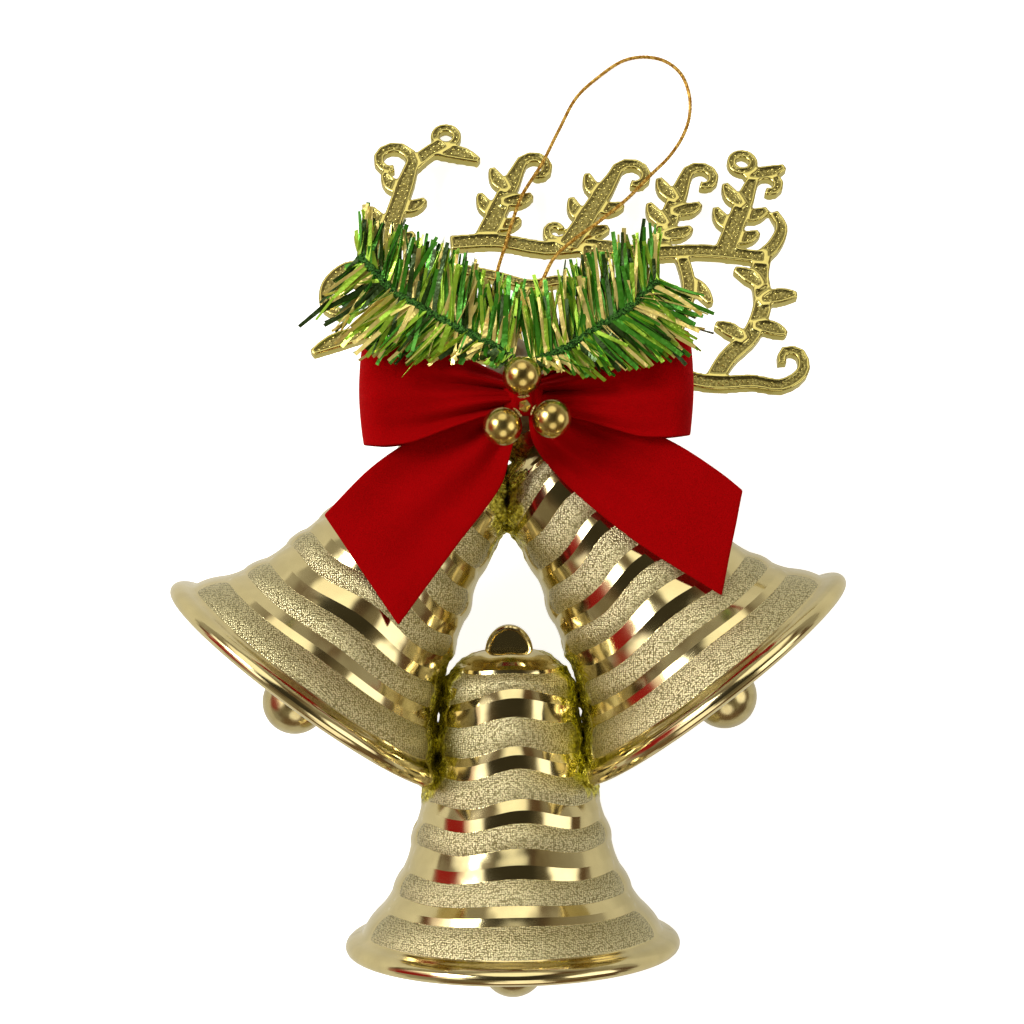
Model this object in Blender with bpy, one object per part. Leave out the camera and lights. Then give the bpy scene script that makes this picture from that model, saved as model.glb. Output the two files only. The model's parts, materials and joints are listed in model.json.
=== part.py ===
"""Christmas bell ornament: three fused plastic bells, a moulded fretwork sign, a bow, berries, tinsel and a cord.

The ornament lies on its back on the plane z = 0: +X is its right, +Y runs from the bells up to the cord, and +Z
comes out of its front. Lengths are in metres; the values below are written in millimetres and multiplied by MM.
Until the last step everything is placed from the mirror line of the bells (x = 0); then the whole ornament is moved
in X and Y so that the middle of its box, without the cord, is the origin.
"""

import math

import bmesh
import bpy
from mathutils import Matrix, Vector

MM = 0.001
GAP = 0.3 * MM  # between two pieces that touch or are glued

# Bells: all three are the same moulding.
RIM_RADIUS = 45.0 * MM
BELL_HEIGHT = 80.2 * MM  # rim plane to crown top
BELL_WALL = 1.2 * MM
BELL_STEPS = 12  # facets in each half shell
# Outer outline, crown to lip: share of the height above the rim plane, share of the rim radius.
BELL_OUTLINE = [
    (1.000, 0.149), (0.990, 0.212), (0.953, 0.301), (0.895, 0.379), (0.859, 0.396), (0.707, 0.428),
    (0.590, 0.481), (0.539, 0.523), (0.377, 0.586), (0.297, 0.628), (0.216, 0.702), (0.155, 0.773),
    (0.097, 0.853), (0.044, 0.938), (0.010, 1.000), (-0.017, 0.996), (-0.034, 0.958),
]
LIP_OVERHANG = 1.2 * MM  # how far the inner wall stops above the lip's lower edge

# Where the bells stand to each other.
TILT = math.radians(37.2)  # of a side bell's axis from +Y
CROWN_OFFSET = 6.7 * MM  # centre of a side bell's crown top from the mirror line
CROWN_Y = 17.1 * MM
LOWER_DROP = 70.7 * MM  # lower bell's mouth below the side bells' mouths, along Y

# The loop moulded on each crown, closed by a thin web.
LOOP_WIDTH = 13.0 * MM
LOOP_HEIGHT = 6.9 * MM
LOOP_THICKNESS = 5.0 * MM
LOOP_BORDER = 1.1 * MM
LOOP_RECESS = 0.9 * MM

# Clappers.
PIN_RADIUS = 0.8 * MM
PIN_DROP = 12.2 * MM  # of the pin's axis below the crown top
PIN_CLEARANCE = 0.3 * MM  # in its bosses and in the clapper's eye
BOSS_RADIUS = 2.3 * MM
BOSS_DEPTH = 4.0 * MM
WIRE_RADIUS = 0.7 * MM
BALL_RADIUS = 8.8 * MM
BALL_DROP = 4.5 * MM  # ball's centre beyond the rim plane
BALL_BORE_DEPTH = 5.0 * MM

# Bow.
LOOP_CLEARANCE = 1.0 * MM  # bow's loops above the crowns' front
BOW_LOOP_THICKNESS = 11.2 * MM
RIBBON_THICKNESS = 1.2 * MM
TAIL_LIFT = 1.2 * MM  # a tail's root above the back of the loops
TAIL_CLEARANCE = 1.65 * MM  # above the bells, at the tips of the tails
TAIL_TIPS = {"left": (-28.2 * MM, -28.7 * MM), "right": (54.7 * MM, -22.2 * MM)}
TAIL_HEADINGS = {"left": (-0.69, -0.72), "right": (0.807, -0.59)}
BOW_CENTRE = (4.8 * MM, 30.0 * MM)
KNOT_SIZE = (10.4 * MM, 10.4 * MM, 10.0 * MM)

# Berries.
BERRY_RADIUS = 4.8 * MM
BERRY_HUB = (4.8 * MM, 26.6 * MM)
BERRY_HUB_RADIUS = 1.8 * MM
BERRY_REACH = 7.6 * MM  # from the hub's centre to a berry's centre
BERRY_ANGLES = {"top": 94.0, "left": 222.0, "right": 334.0}  # degrees from +X
BERRY_LIFT = 13.8 * MM  # berries' centres above the middle of the bow's loops
STEM_RADIUS = 0.8 * MM

# Tinsel branches.
CORE_RADIUS = 1.2 * MM
TINSEL_THICKNESS = 6.5 * MM
TINSEL_LIFT = 1.0 * MM  # tinsel's back above the bow's loops

# Fretwork sign, drawn in its own plane: u to the right, v up, from a point on its back face.
SIGN_THICKNESS = 3.0 * MM
SIGN_TILT = math.radians(28.0)  # the top edge lies on the ground, the lower edge is raised
SIGN_TURN = math.radians(-3.75)
SIGN_Y = 46.1 * MM  # where v = 0 crosses the mirror line
STEM_EDGE = -9.2 * MM  # v just below the stem that the glue holds
EYELET_RADIUS = 4.5 * MM
EYELET_HOLE = 1.9 * MM
EYELETS = [(-20.6, 68.9), (65.6, 65.1)]  # in millimetres, in the sign's plane
FROND_WIDTH = 6.2  # millimetres, as all the strokes are drawn
LEAFLET_LENGTH = 9.0
LEAFLET_WIDTH = 4.4

# Hanging cord.
CORD_DIAMETER = 1.0 * MM
CORD_KNOT_RADIUS = 2.3 * MM
CORD_KNOT = (1.6, 46.4, 43.4)  # millimetres
CORD_POINTS = 76

# Hot-melt glue.
BEAD_ABOVE_SIGN = 5.7 * MM
LOOP_LOBE = (1.5 * MM, 26.0 * MM, RIM_RADIUS + 3.0 * MM)

AXIS_Z = RIM_RADIUS  # the bells lie on the backs of their rims
PIN_HEIGHT = BELL_HEIGHT - PIN_DROP  # above the rim plane
SHOULDER_RADIUS = 0.396 * RIM_RADIUS
BOW_BACK_Z = AXIS_Z + SHOULDER_RADIUS + LOOP_CLEARANCE - GAP
BOW_Z = BOW_BACK_Z + BOW_LOOP_THICKNESS / 2
KNOT_Z = BOW_Z - 0.7 * MM
BEAD_FRONT = KNOT_Z - KNOT_SIZE[2] / 2 - GAP
BERRY_Z = BOW_Z + BERRY_LIFT
TINSEL_BACK_Z = BOW_Z + BOW_LOOP_THICKNESS / 2 + TINSEL_LIFT
TINSEL_Z = TINSEL_BACK_Z + TINSEL_THICKNESS / 2


# ---------------------------------------------------------------- scene and materials

def clear_scene():
    for obj in list(bpy.data.objects):
        bpy.data.objects.remove(obj, do_unlink=True)


def material(name, colour, roughness, metallic):
    mat = bpy.data.materials.new(name)
    mat.use_nodes = True
    shader = mat.node_tree.nodes["Principled BSDF"]
    shader.inputs["Base Color"].default_value = (*colour, 1.0)
    shader.inputs["Roughness"].default_value = roughness
    shader.inputs["Metallic"].default_value = metallic
    mat.diffuse_color = (*colour, 1.0)
    return mat


def empty(name, location=(0, 0, 0), turn=0.0, parent=None):
    obj = bpy.data.objects.new(name, None)
    obj.location = location
    obj.rotation_euler = (0, 0, turn)
    obj.parent = parent
    bpy.context.scene.collection.objects.link(obj)
    return obj


def add(name, mesh_or_curve, mat, parent, location=(0, 0, 0)):
    """Put a finished mesh or curve in the scene as a sub-part."""
    obj = bpy.data.objects.new(name, mesh_or_curve)
    obj.location = location
    obj.parent = parent
    bpy.context.scene.collection.objects.link(obj)
    if mat:
        obj.data.materials.append(mat)
    return obj


def helper(name, mesh, parent, location=(0, 0, 0)):
    """A cutter, or a body that a Boolean joins to a sub-part."""
    obj = add(name, mesh, None, parent, location)
    obj.hide_render = True
    obj.display_type = "WIRE"
    return obj


def combine(obj, operation, other):
    modifier = obj.modifiers.new(f"{operation.lower()}_{other.name}", "BOOLEAN")
    modifier.operation = operation
    modifier.solver = "EXACT"
    modifier.object = other


# ---------------------------------------------------------------- shapes

def finish(bm, name, smooth_angle=None):
    bmesh.ops.remove_doubles(bm, verts=bm.verts, dist=1e-6)
    bmesh.ops.recalc_face_normals(bm, faces=bm.faces)
    mesh = bpy.data.meshes.new(name)
    bm.to_mesh(mesh)
    bm.free()
    if smooth_angle:
        mesh.shade_smooth()
        mesh.set_sharp_from_angle(angle=math.radians(smooth_angle))
    return mesh


def lathe(name, outline, steps, angle=math.tau):
    """Turn (radius, height) points about local Y. A part turn is closed by flat faces; a full one starts and
    ends on the axis, or comes back to its first point."""
    bm = bmesh.new()
    verts = [bm.verts.new((r, h, 0)) for r, h in outline]
    if abs(angle) < math.tau:
        start = [bm.faces.new(verts)]
    else:
        start = [bm.edges.new(pair) for pair in zip(verts, verts[1:])]
    bmesh.ops.spin(bm, geom=verts + start, axis=(0, 1, 0), cent=(0, 0, 0), angle=angle, steps=steps)
    return finish(bm, name, smooth_angle=40)


def prism(name, outline, low, high):
    """A flat outline in XY with thickness along Z."""
    bm = bmesh.new()
    face = bm.faces.new([bm.verts.new((x, y, low)) for x, y in outline])
    made = bmesh.ops.extrude_face_region(bm, geom=[face])
    moved = [v for v in made["geom"] if isinstance(v, bmesh.types.BMVert)]
    bmesh.ops.translate(bm, verts=moved, vec=(0, 0, high - low))
    return finish(bm, name)


def loft(name, rings):
    """Bridge closed rings that have the same number of points, and cap both ends."""
    bm = bmesh.new()
    rows = [[bm.verts.new(point) for point in ring] for ring in rings]
    for row, following in zip(rows, rows[1:]):
        edges = [bm.edges.get(p) or bm.edges.new(p) for r in (row, following) for p in zip(r, r[1:] + r[:1])]
        bmesh.ops.bridge_loops(bm, edges=edges)
    bm.faces.new(rows[0])
    bm.faces.new(rows[-1])
    return finish(bm, name, smooth_angle=50)


def ball(name, radius, across=16, up=10, size=None):
    bm = bmesh.new()
    bmesh.ops.create_uvsphere(bm, u_segments=across, v_segments=up, radius=radius)
    if size:
        bmesh.ops.scale(bm, vec=[s / (2 * radius) for s in size], verts=bm.verts)
    return finish(bm, name, smooth_angle=60)


def cylinder(name, radius, low, high, sides=12, top_radius=None):
    """Along local Z, from low to high."""
    bm = bmesh.new()
    bmesh.ops.create_cone(
        bm, cap_ends=True, segments=sides, radius1=radius, radius2=top_radius or radius, depth=high - low,
        matrix=Matrix.Translation((0, 0, (low + high) / 2)),
    )
    return finish(bm, name, smooth_angle=40)


def tube(name, points, radius, resolution=2):
    curve = bpy.data.curves.new(name, "CURVE")
    curve.dimensions = "3D"
    curve.bevel_depth = radius
    curve.bevel_resolution = resolution
    curve.use_fill_caps = True
    spline = curve.splines.new("POLY")
    spline.points.add(len(points) - 1)
    for point, place in zip(spline.points, points):
        point.co = (*place, 1.0)
    return curve


def smooth_through(points, count):
    """Evenly spaced points on a centripetal Catmull-Rom curve through the given points."""
    knots = [Vector(p) for p in points]
    knots = [2 * knots[0] - knots[1], *knots, 2 * knots[-1] - knots[-2]]
    dense = []
    for a, b, c, d in zip(knots, knots[1:], knots[2:], knots[3:]):
        t0 = 0.0
        t1 = t0 + math.sqrt((b - a).length)
        t2 = t1 + math.sqrt((c - b).length)
        t3 = t2 + math.sqrt((d - c).length)
        for i in range(24):
            t = t1 + (t2 - t1) * i / 24
            a1 = a * ((t1 - t) / (t1 - t0)) + b * ((t - t0) / (t1 - t0))
            a2 = b * ((t2 - t) / (t2 - t1)) + c * ((t - t1) / (t2 - t1))
            a3 = c * ((t3 - t) / (t3 - t2)) + d * ((t - t2) / (t3 - t2))
            b1 = a1 * ((t2 - t) / (t2 - t0)) + a2 * ((t - t0) / (t2 - t0))
            b2 = a2 * ((t3 - t) / (t3 - t1)) + a3 * ((t - t1) / (t3 - t1))
            dense.append(b1 * ((t2 - t) / (t2 - t1)) + b2 * ((t - t1) / (t2 - t1)))
    dense.append(knots[-2])
    run = [0.0]
    for a, b in zip(dense, dense[1:]):
        run.append(run[-1] + (b - a).length)
    placed = []
    at = 0
    for i in range(count):
        target = run[-1] * i / (count - 1)
        while at < len(run) - 2 and run[at + 1] < target:
            at += 1
        share = (target - run[at]) / (run[at + 1] - run[at])
        placed.append(dense[at].lerp(dense[at + 1], min(share, 1.0)))
    return placed


def in_mm(points):
    return [tuple(value * MM for value in point) for point in points]


# ---------------------------------------------------------------- bells

def bell_outer():
    return [(r * RIM_RADIUS, h * BELL_HEIGHT) for h, r in BELL_OUTLINE]


def offset_outline(points, distance):
    """Move each point of an open outline to the inside by distance, square to the outline."""
    moved = []
    for i, (r, h) in enumerate(points):
        r0, h0 = points[max(i - 1, 0)]
        r1, h1 = points[min(i + 1, len(points) - 1)]
        length = math.hypot(r1 - r0, h1 - h0)
        moved.append((r + (h1 - h0) / length * distance, h - (r1 - r0) / length * distance))
    return moved


def shell_section():
    """Closed outline of the wall: down the outside from the axis, round the lip and up the inside."""
    outer = bell_outer()
    lip_inner = (outer[-1][0] - BELL_WALL, outer[-1][1] + LIP_OVERHANG)
    inner = offset_outline(outer[:-3], BELL_WALL)
    axis_top = [(0.0, BELL_HEIGHT)]
    axis_inside = [(0.0, BELL_HEIGHT - BELL_WALL)]
    return axis_top + outer + [lip_inner] + inner[::-1] + axis_inside


def inner_radius(height):
    """Radius of the hollow at a height, less what the facets take."""
    inner = offset_outline(bell_outer()[:-3], BELL_WALL)
    for (r0, h0), (r1, h1) in zip(inner, inner[1:]):
        if h1 <= height <= h0:
            return (r0 + (r1 - r0) * (h0 - height) / (h0 - h1)) * math.cos(math.pi / BELL_STEPS / 2)
    raise ValueError("height is outside the bell")


def outer_radius(height):
    outline = bell_outer()
    for (r0, h0), (r1, h1) in zip(outline, outline[1:]):
        if h1 <= height <= h0:
            return r0 + (r1 - r0) * (h0 - height) / (h0 - h1)
    return RIM_RADIUS


def bell_envelope(name, clearance):
    """Solid outer shape of a bell, grown by a clearance: it makes room for the bell in its neighbours."""
    grown = offset_outline(bell_outer(), -clearance)
    top = grown[0][1]
    return lathe(name, [(0.0, top), *grown, (0.0, grown[-1][1])], 2 * BELL_STEPS)


def loop_outline(inset):
    """D shape on the crown; its foot stands in the wall."""
    half = LOOP_WIDTH / 2 - inset
    foot = BELL_HEIGHT - (BELL_WALL / 2 if inset == 0 else -inset / 2)
    rise = BELL_HEIGHT + LOOP_HEIGHT - inset - foot
    arc = [(half * math.cos(a), foot + rise * math.sin(a)) for a in (math.pi * i / 10 for i in range(11))]
    return arc


def half_shell(bell, side, frame, mat):
    """One moulded half of a bell: front (side +1) or back (side -1) of the parting plane."""
    label = "front" if side > 0 else "back"
    name = f"bell_{bell}_{label}"
    mesh = lathe(name, shell_section(), BELL_STEPS, angle=-side * math.pi)
    for vert in mesh.vertices:
        if abs(vert.co.z) < GAP / 2:
            vert.co.z = side * GAP / 2
    shell = add(name, mesh, mat, frame)

    def level(distance):
        return side * distance

    low, high = sorted((level(GAP / 2), level(LOOP_THICKNESS / 2)))
    combine(shell, "UNION", helper(f"{name}_loop", prism("loop", loop_outline(0), low, high), frame))
    low, high = sorted((level(LOOP_THICKNESS / 2 - LOOP_RECESS), level(LOOP_THICKNESS)))
    recess = helper(f"{name}_recess", prism("recess", loop_outline(LOOP_BORDER), low, high), frame)
    combine(shell, "DIFFERENCE", recess)

    seat = inner_radius(PIN_HEIGHT)
    low, high = sorted((level(seat - BOSS_DEPTH), level(seat + BELL_WALL / 2)))
    boss = helper(f"{name}_boss", cylinder("boss", BOSS_RADIUS, low, high), frame, (0, PIN_HEIGHT, 0))
    combine(shell, "UNION", boss)
    low, high = sorted((0.0, level(seat - PIN_CLEARANCE)))
    bore = helper(
        f"{name}_bore", cylinder("bore", PIN_RADIUS + PIN_CLEARANCE, low, high), frame, (0, PIN_HEIGHT, 0)
    )
    combine(shell, "DIFFERENCE", bore)
    return shell


def clapper(bell, frame, metal, gold):
    """Pin across the crown, and a ball on a wire that hooks round it. The hinge is the pin's axis."""
    hinge = empty(f"clapper_hinge_{bell}", (0, PIN_HEIGHT, 0), parent=frame)
    reach = inner_radius(PIN_HEIGHT) - 2 * PIN_CLEARANCE
    add(f"clapper_pin_{bell}", cylinder("pin", PIN_RADIUS, -reach, reach), metal, hinge)

    eye = PIN_RADIUS + PIN_CLEARANCE + WIRE_RADIUS
    centre = -(PIN_HEIGHT + BALL_DROP)
    wire_end = centre + BALL_RADIUS - BALL_BORE_DEPTH + PIN_CLEARANCE
    hook = [
        (eye * math.cos(math.radians(a)), eye * math.sin(math.radians(a)), 0.0) for a in range(-60, 181, 20)
    ]
    route = [*hook, (-eye, -eye, 0.0), (-eye * 0.4, -2.2 * eye, 0.0), (0.0, -3.2 * eye, 0.0), (0.0, wire_end, 0.0)]
    add(f"clapper_wire_{bell}", tube("wire", route, WIRE_RADIUS), metal, hinge)

    bore = WIRE_RADIUS + PIN_CLEARANCE
    floor = BALL_RADIUS - BALL_BORE_DEPTH
    start = math.asin(bore / BALL_RADIUS)
    arc = [start + (math.pi - start) * i / 10 for i in range(11)]
    outline = [(0.0, floor), (bore, floor)] + [(BALL_RADIUS * math.sin(a), BALL_RADIUS * math.cos(a)) for a in arc]
    outline[-1] = (0.0, -BALL_RADIUS)
    mesh = lathe(f"clapper_ball_{bell}", outline, 16)
    add(f"clapper_ball_{bell}", mesh, gold, hinge, (0, centre, 0))


def bells(root, plastic, metal):
    side_mouth_x = CROWN_OFFSET + math.sin(TILT) * BELL_HEIGHT
    side_mouth_y = CROWN_Y - math.cos(TILT) * BELL_HEIGHT
    lower = empty("bell_lower", (0, side_mouth_y - LOWER_DROP, AXIS_Z), parent=root)
    room = helper("room_for_lower_bell", bell_envelope("room", GAP), lower)
    side_bells = []
    for bell, side in (("left", -1), ("right", 1)):
        frame = empty(f"bell_{bell}", (side * side_mouth_x, side_mouth_y, AXIS_Z), side * TILT, root)
        side_bells.append(frame)
        reach = side_mouth_x + RIM_RADIUS
        beyond = sorted((side * GAP / 2, -side * reach / 2))
        half = [(beyond[0], -reach), (beyond[1], -reach), (beyond[1], reach), (beyond[0], reach)]
        other_side = helper(f"beyond_mirror_{bell}", prism("beyond", half, -reach, reach), root, (0, 0, AXIS_Z))
        for face in (1, -1):
            shell = half_shell(bell, face, frame, plastic)
            combine(shell, "DIFFERENCE", room)
            combine(shell, "DIFFERENCE", other_side)
        clapper(bell, frame, metal, plastic)
    for face in (1, -1):
        half_shell("lower", face, lower, plastic)
    clapper("lower", lower, metal, plastic)
    return side_bells


# ---------------------------------------------------------------- bow and glue

def ribbon_loop(name, stations, mat, root):
    """A pulled-up loop of ribbon as a plain closed solid: (x, lower y, upper y, thickness share) stations."""
    rings = []
    for x, low, high, share in stations:
        half_y = (high - low) / 2 * MM
        half_z = share * BOW_LOOP_THICKNESS / 2
        ring = []
        for i in range(12):
            a = math.tau * i / 12
            square = 0.72  # below 1: corners fuller than an ellipse's
            c, s = math.cos(a), math.sin(a)
            y = (low + high) / 2 * MM + half_y * math.copysign(abs(c) ** square, c)
            ring.append((x * MM, y, BOW_Z + half_z * math.copysign(abs(s) ** square, s)))
        rings.append(ring)
    add(name, loft(name, rings), mat, root)


def tail_run(side, x, y):
    """How far a point is along its tail from the bow's centre."""
    return Vector((x - BOW_CENTRE[0], y - BOW_CENTRE[1])).dot(Vector(TAIL_HEADINGS[side]).normalized())


def tail_rise():
    """Rise for each unit of run, so that both tails pass over their bells with the clearance at their tips."""
    rises = []
    for side, hand in (("left", -1), ("right", 1)):
        x, y = TAIL_TIPS[side]
        from_crown = Vector((hand * x - CROWN_OFFSET, CROWN_Y - y))
        down = Vector((math.sin(TILT), math.cos(TILT)))
        radius = outer_radius(BELL_HEIGHT - from_crown.dot(down))
        off_axis = from_crown.x * down.y - from_crown.y * down.x
        bell_z = AXIS_Z + math.sqrt(max(radius * radius - off_axis * off_axis, 0.0))
        rises.append((bell_z + TAIL_CLEARANCE - BOW_BACK_Z - TAIL_LIFT) / tail_run(side, x, y))
    return max(rises)


def ribbon_tail(side, outline, mat, root):
    """A flat tail that climbs from the bow's back over its bell."""
    mesh = prism("tail", in_mm(outline), 0.0, RIBBON_THICKNESS)
    for vert in mesh.vertices:
        vert.co.z += BOW_BACK_Z + TAIL_LIFT + tail_rise() * tail_run(side, vert.co.x, vert.co.y)
    add(f"bow_tail_{side}", mesh, mat, root)


def bow(root, velvet):
    ribbon_loop(
        "bow_loop_left",
        [(-1.0, 27.5, 34.5, 0.36), (-10, 25, 40.5, 0.64), (-24.5, 19.6, 45.5, 0.93), (-34.5, 17.5, 44.6, 1.0),
         (-37.4, 21.5, 41.5, 0.66)],
        velvet, root,
    )
    ribbon_loop(
        "bow_loop_right",
        [(10.6, 27.3, 34.9, 0.36), (22, 24.6, 41.5, 0.64), (36, 20.4, 47.0, 0.93), (46.3, 18.9, 46.6, 1.0),
         (49.2, 22.0, 43.0, 0.66)],
        velvet, root,
    )
    left_tip, right_tip = (tuple(value / MM for value in TAIL_TIPS[side]) for side in ("left", "right"))
    ribbon_tail(
        "left",
        [(-24.8, 18.3), (-34.6, 12.2), (-47, -0.1), left_tip, (-1.4, 6.9), (0.6, 13), (1.5, 21),
         (-1, 26.3), (-10, 23.8)],
        velvet, root,
    )
    ribbon_tail(
        "right",
        [(40.8, 18.4), (54.6, 9.8), (60.6, 4.8), right_tip, (31.6, -7), (13.2, 9.3), (7.1, 18), (8.8, 23.2),
         (10.8, 26), (22, 23.3)],
        velvet, root,
    )
    add("bow_knot", ball("knot", 1.0, 16, 10, KNOT_SIZE), velvet, root, (*BOW_CENTRE, KNOT_Z))


def glue_bead(root, glue, side_bells):
    """Hot-melt glue from the bow's knot down to the crown loops, the sign's lower edge and the cord's knot. It is
    three lobes in one, with room left for each piece that it holds."""
    bead_back = sign_point(0, 0, SIGN_THICKNESS).z + BEAD_ABOVE_SIGN
    bead = ball("bead", 1.0, 16, 10, (20 * MM, 20 * MM, BEAD_FRONT - bead_back))
    bead = add("glue_bead", bead, glue, root, (2 * MM, 32 * MM, (bead_back + BEAD_FRONT) / 2))
    over_sign = sign_point(2 * MM, -11.0 * MM, SIGN_THICKNESS + 5.5 * MM)
    lobes = {"sign": ((13 * MM, 14 * MM, 19 * MM), over_sign), "loops": ((15 * MM, 11 * MM, 15 * MM), LOOP_LOBE)}
    for name, (size, place) in lobes.items():
        combine(bead, "UNION", helper(f"lobe_{name}", ball("lobe", 1.0, 16, 10, size), root, place))

    half = LOOP_THICKNESS / 2 + GAP
    for i, frame in enumerate(side_bells):
        room = prism("room", loop_outline(-GAP), -half, half)
        combine(bead, "DIFFERENCE", helper(f"loop_room_{i}", room, frame))
        combine(bead, "DIFFERENCE", helper(f"crown_room_{i}", bell_envelope("room", GAP), frame))
    knot_room = helper("knot_room", ball("room", CORD_KNOT_RADIUS + GAP, 12, 8), root, in_mm([CORD_KNOT])[0])
    combine(bead, "DIFFERENCE", knot_room)
    side = 60 * MM
    behind = [(-side, STEM_EDGE), (side, STEM_EDGE), (side, side), (-side, side)]
    below = prism("below", behind, -side, SIGN_THICKNESS + GAP)
    below.transform(sign_lay())
    combine(bead, "DIFFERENCE", helper("sign_room", below, root))


# ---------------------------------------------------------------- berries

def berries(root, gold, glitter, metal):
    hub = Vector((*BERRY_HUB, BERRY_Z))
    bm = bmesh.new()
    bmesh.ops.create_icosphere(bm, subdivisions=1, radius=BERRY_HUB_RADIUS)
    add("berry_hub", finish(bm, "hub"), glitter, root, hub)
    for name, degrees in BERRY_ANGLES.items():
        turn = math.radians(degrees)
        towards = Vector((math.cos(turn), math.sin(turn), 0))
        add(f"berry_{name}", ball("berry", BERRY_RADIUS, 16, 10), gold, root, hub + towards * BERRY_REACH)
        near = BERRY_HUB_RADIUS + GAP
        far = BERRY_REACH - BERRY_RADIUS - GAP
        collar = cylinder("collar", 1.0 * MM, near, far, 10, 1.7 * MM)
        collar.transform(towards.to_track_quat("Z", "Y").to_matrix().to_4x4())
        add(f"berry_collar_{name}", collar, glitter, root, hub)
    knot_top = KNOT_Z + KNOT_SIZE[2] / 2
    stem = cylinder("stem", STEM_RADIUS, knot_top - 0.3 * MM, BERRY_Z - BERRY_HUB_RADIUS - GAP, 8)
    add("berry_stem", stem, metal, root, (*BERRY_HUB, 0))


# ---------------------------------------------------------------- tinsel

CORE_ROUTES = {
    "left": [(-36.5, 65.4), (-28.1, 56.4), (-20.3, 51.7), (-7.8, 44.7), (-1.6, 41.6)],
    "right": [(38.9, 58.2), (31.1, 51.1), (23.2, 46.4), (15.8, 41.6), (10.6, 39.6)],
}
CORE_ENDS = {"left": (1.0, 40.6), "right": (7.4, 39.2)}  # where a core turns down into the glue bead
UPPER_TIPS = {
    "left": [(-1.6, 59), (-12, 66.5), (-24, 73), (-35, 78.5)],
    "right": [(10.6, 57), (20, 64.5), (30, 69.5), (39.5, 72.5)],
}
LOWER_TIPS = {
    "left": [(-6.5, 39.2), (-18, 38.2), (-30, 38), (-41, 43), (-46.5, 50.5), (-43, 60)],
    "right": [(13, 36.2), (22, 34), (33, 36), (44, 38.5), (51, 44), (49.5, 54)],
}
CORE_ROOM = 2.2 * MM  # from a core's middle to the foil on each side


def tinsel(root, foil, metal):
    """A twisted core for each branch, and the fans of foil above and below it as plain slabs."""
    for side, route in CORE_ROUTES.items():
        end_x, end_y = CORE_ENDS[side]
        z = TINSEL_Z / MM
        points = [(x, y, z) for x, y in route] + [
            (end_x, end_y, z - 3.5), (end_x + 0.3, end_y - 0.8, z - 10), (end_x + 0.3, end_y - 1.0, BEAD_FRONT / MM - 1.15),
        ]
        core = smooth_through(in_mm(points), 24)
        add(f"tinsel_core_{side}", tube("core", core, CORE_RADIUS), metal, root)
        line = in_mm(route)
        along = (Vector(line[-1]) - Vector(line[0])).normalized()
        across = Vector((-along.y, along.x)) * (1 if along.x > 0 else -1)
        for fan, tips, sign in (("upper", UPPER_TIPS, 1), ("lower", LOWER_TIPS, -1)):
            near = [tuple(Vector(p) + across * CORE_ROOM * sign) for p in line]
            far = in_mm(tips[side])
            mesh = prism("fan", near + far, TINSEL_BACK_Z, TINSEL_BACK_Z + TINSEL_THICKNESS)
            add(f"tinsel_{side}_{fan}", mesh, foil, root)


# ---------------------------------------------------------------- fretwork sign

def sign_axes():
    """The sign's right, up and outward directions."""
    turn = Matrix.Rotation(SIGN_TURN, 3, "Z") @ Matrix.Rotation(-SIGN_TILT, 3, "X")
    return [turn @ Vector(axis) for axis in ((1, 0, 0), (0, 1, 0), (0, 0, 1))]


def sign_top():
    return max(v for _, v in EYELETS) * MM + EYELET_RADIUS


def sign_point(u, v, out):
    """A point of the sign's plane in the ornament's space; the highest point of its back face is on the ground."""
    right, up, outward = sign_axes()
    raised = sign_top() * math.sin(SIGN_TILT)
    return Vector((0, SIGN_Y, raised)) + right * u + up * v + outward * out


def sign_lay():
    """Matrix that lays a flat drawing in the sign's plane."""
    lay = Matrix(sign_axes()).transposed().to_4x4()
    lay.translation = sign_point(0, 0, 0)
    return lay


def stroke(points):
    """Outline of a band that follows (u, v, width) points, with its ends rounded off to a blunt tip."""
    middle = [Vector((u, v)) for u, v, _ in points]
    left, right = [], []
    for i, (point, (_, _, width)) in enumerate(zip(middle, points)):
        along = (middle[min(i + 1, len(middle) - 1)] - middle[max(i - 1, 0)]).normalized()
        across = Vector((-along.y, along.x)) * width / 2
        left.append(point + across)
        right.append(point - across)
    return left + right[::-1]


def leaf(start, end, width, bend=0.0):
    """Slender leaf from start to end: pointed at both ends, widest in the middle, bent sideways by bend."""
    start, end = Vector(start), Vector(end)
    across = Vector((-(end - start).y, (end - start).x)).normalized()
    points = []
    for i in range(7):
        t = i / 6
        middle = start.lerp(end, t) + across * bend * math.sin(math.pi * t)
        points.append((middle.x, middle.y, 1.2 + (width - 1.2) * math.sin(math.pi * min(0.08 + t * 0.86, 1.0))))
    return points


def curl(centre, radius, start, turns, width, end_width=2.0):
    """Spiral tendril round a centre, from radius inwards: start in degrees, turns negative for clockwise."""
    points = []
    count = max(7, int(abs(turns) * 12))
    for i in range(count + 1):
        t = i / count
        angle = math.radians(start + 360 * turns * t)
        reach = radius * (1 - 0.55 * t)
        points.append(
            (centre[0] + reach * math.cos(angle), centre[1] + reach * math.sin(angle),
             width + (end_width - width) * t)
        )
    return points


def vine(*route, width=3.4, tip=None):
    """Smooth stem through (u, v) points."""
    points = smooth_through([(u, v, 0) for u, v in route], 3 * len(route))
    last = len(points) - 1
    return [(p.x, p.y, width + ((tip or width) - width) * (i / last) ** 2) for i, p in enumerate(points)]


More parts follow.
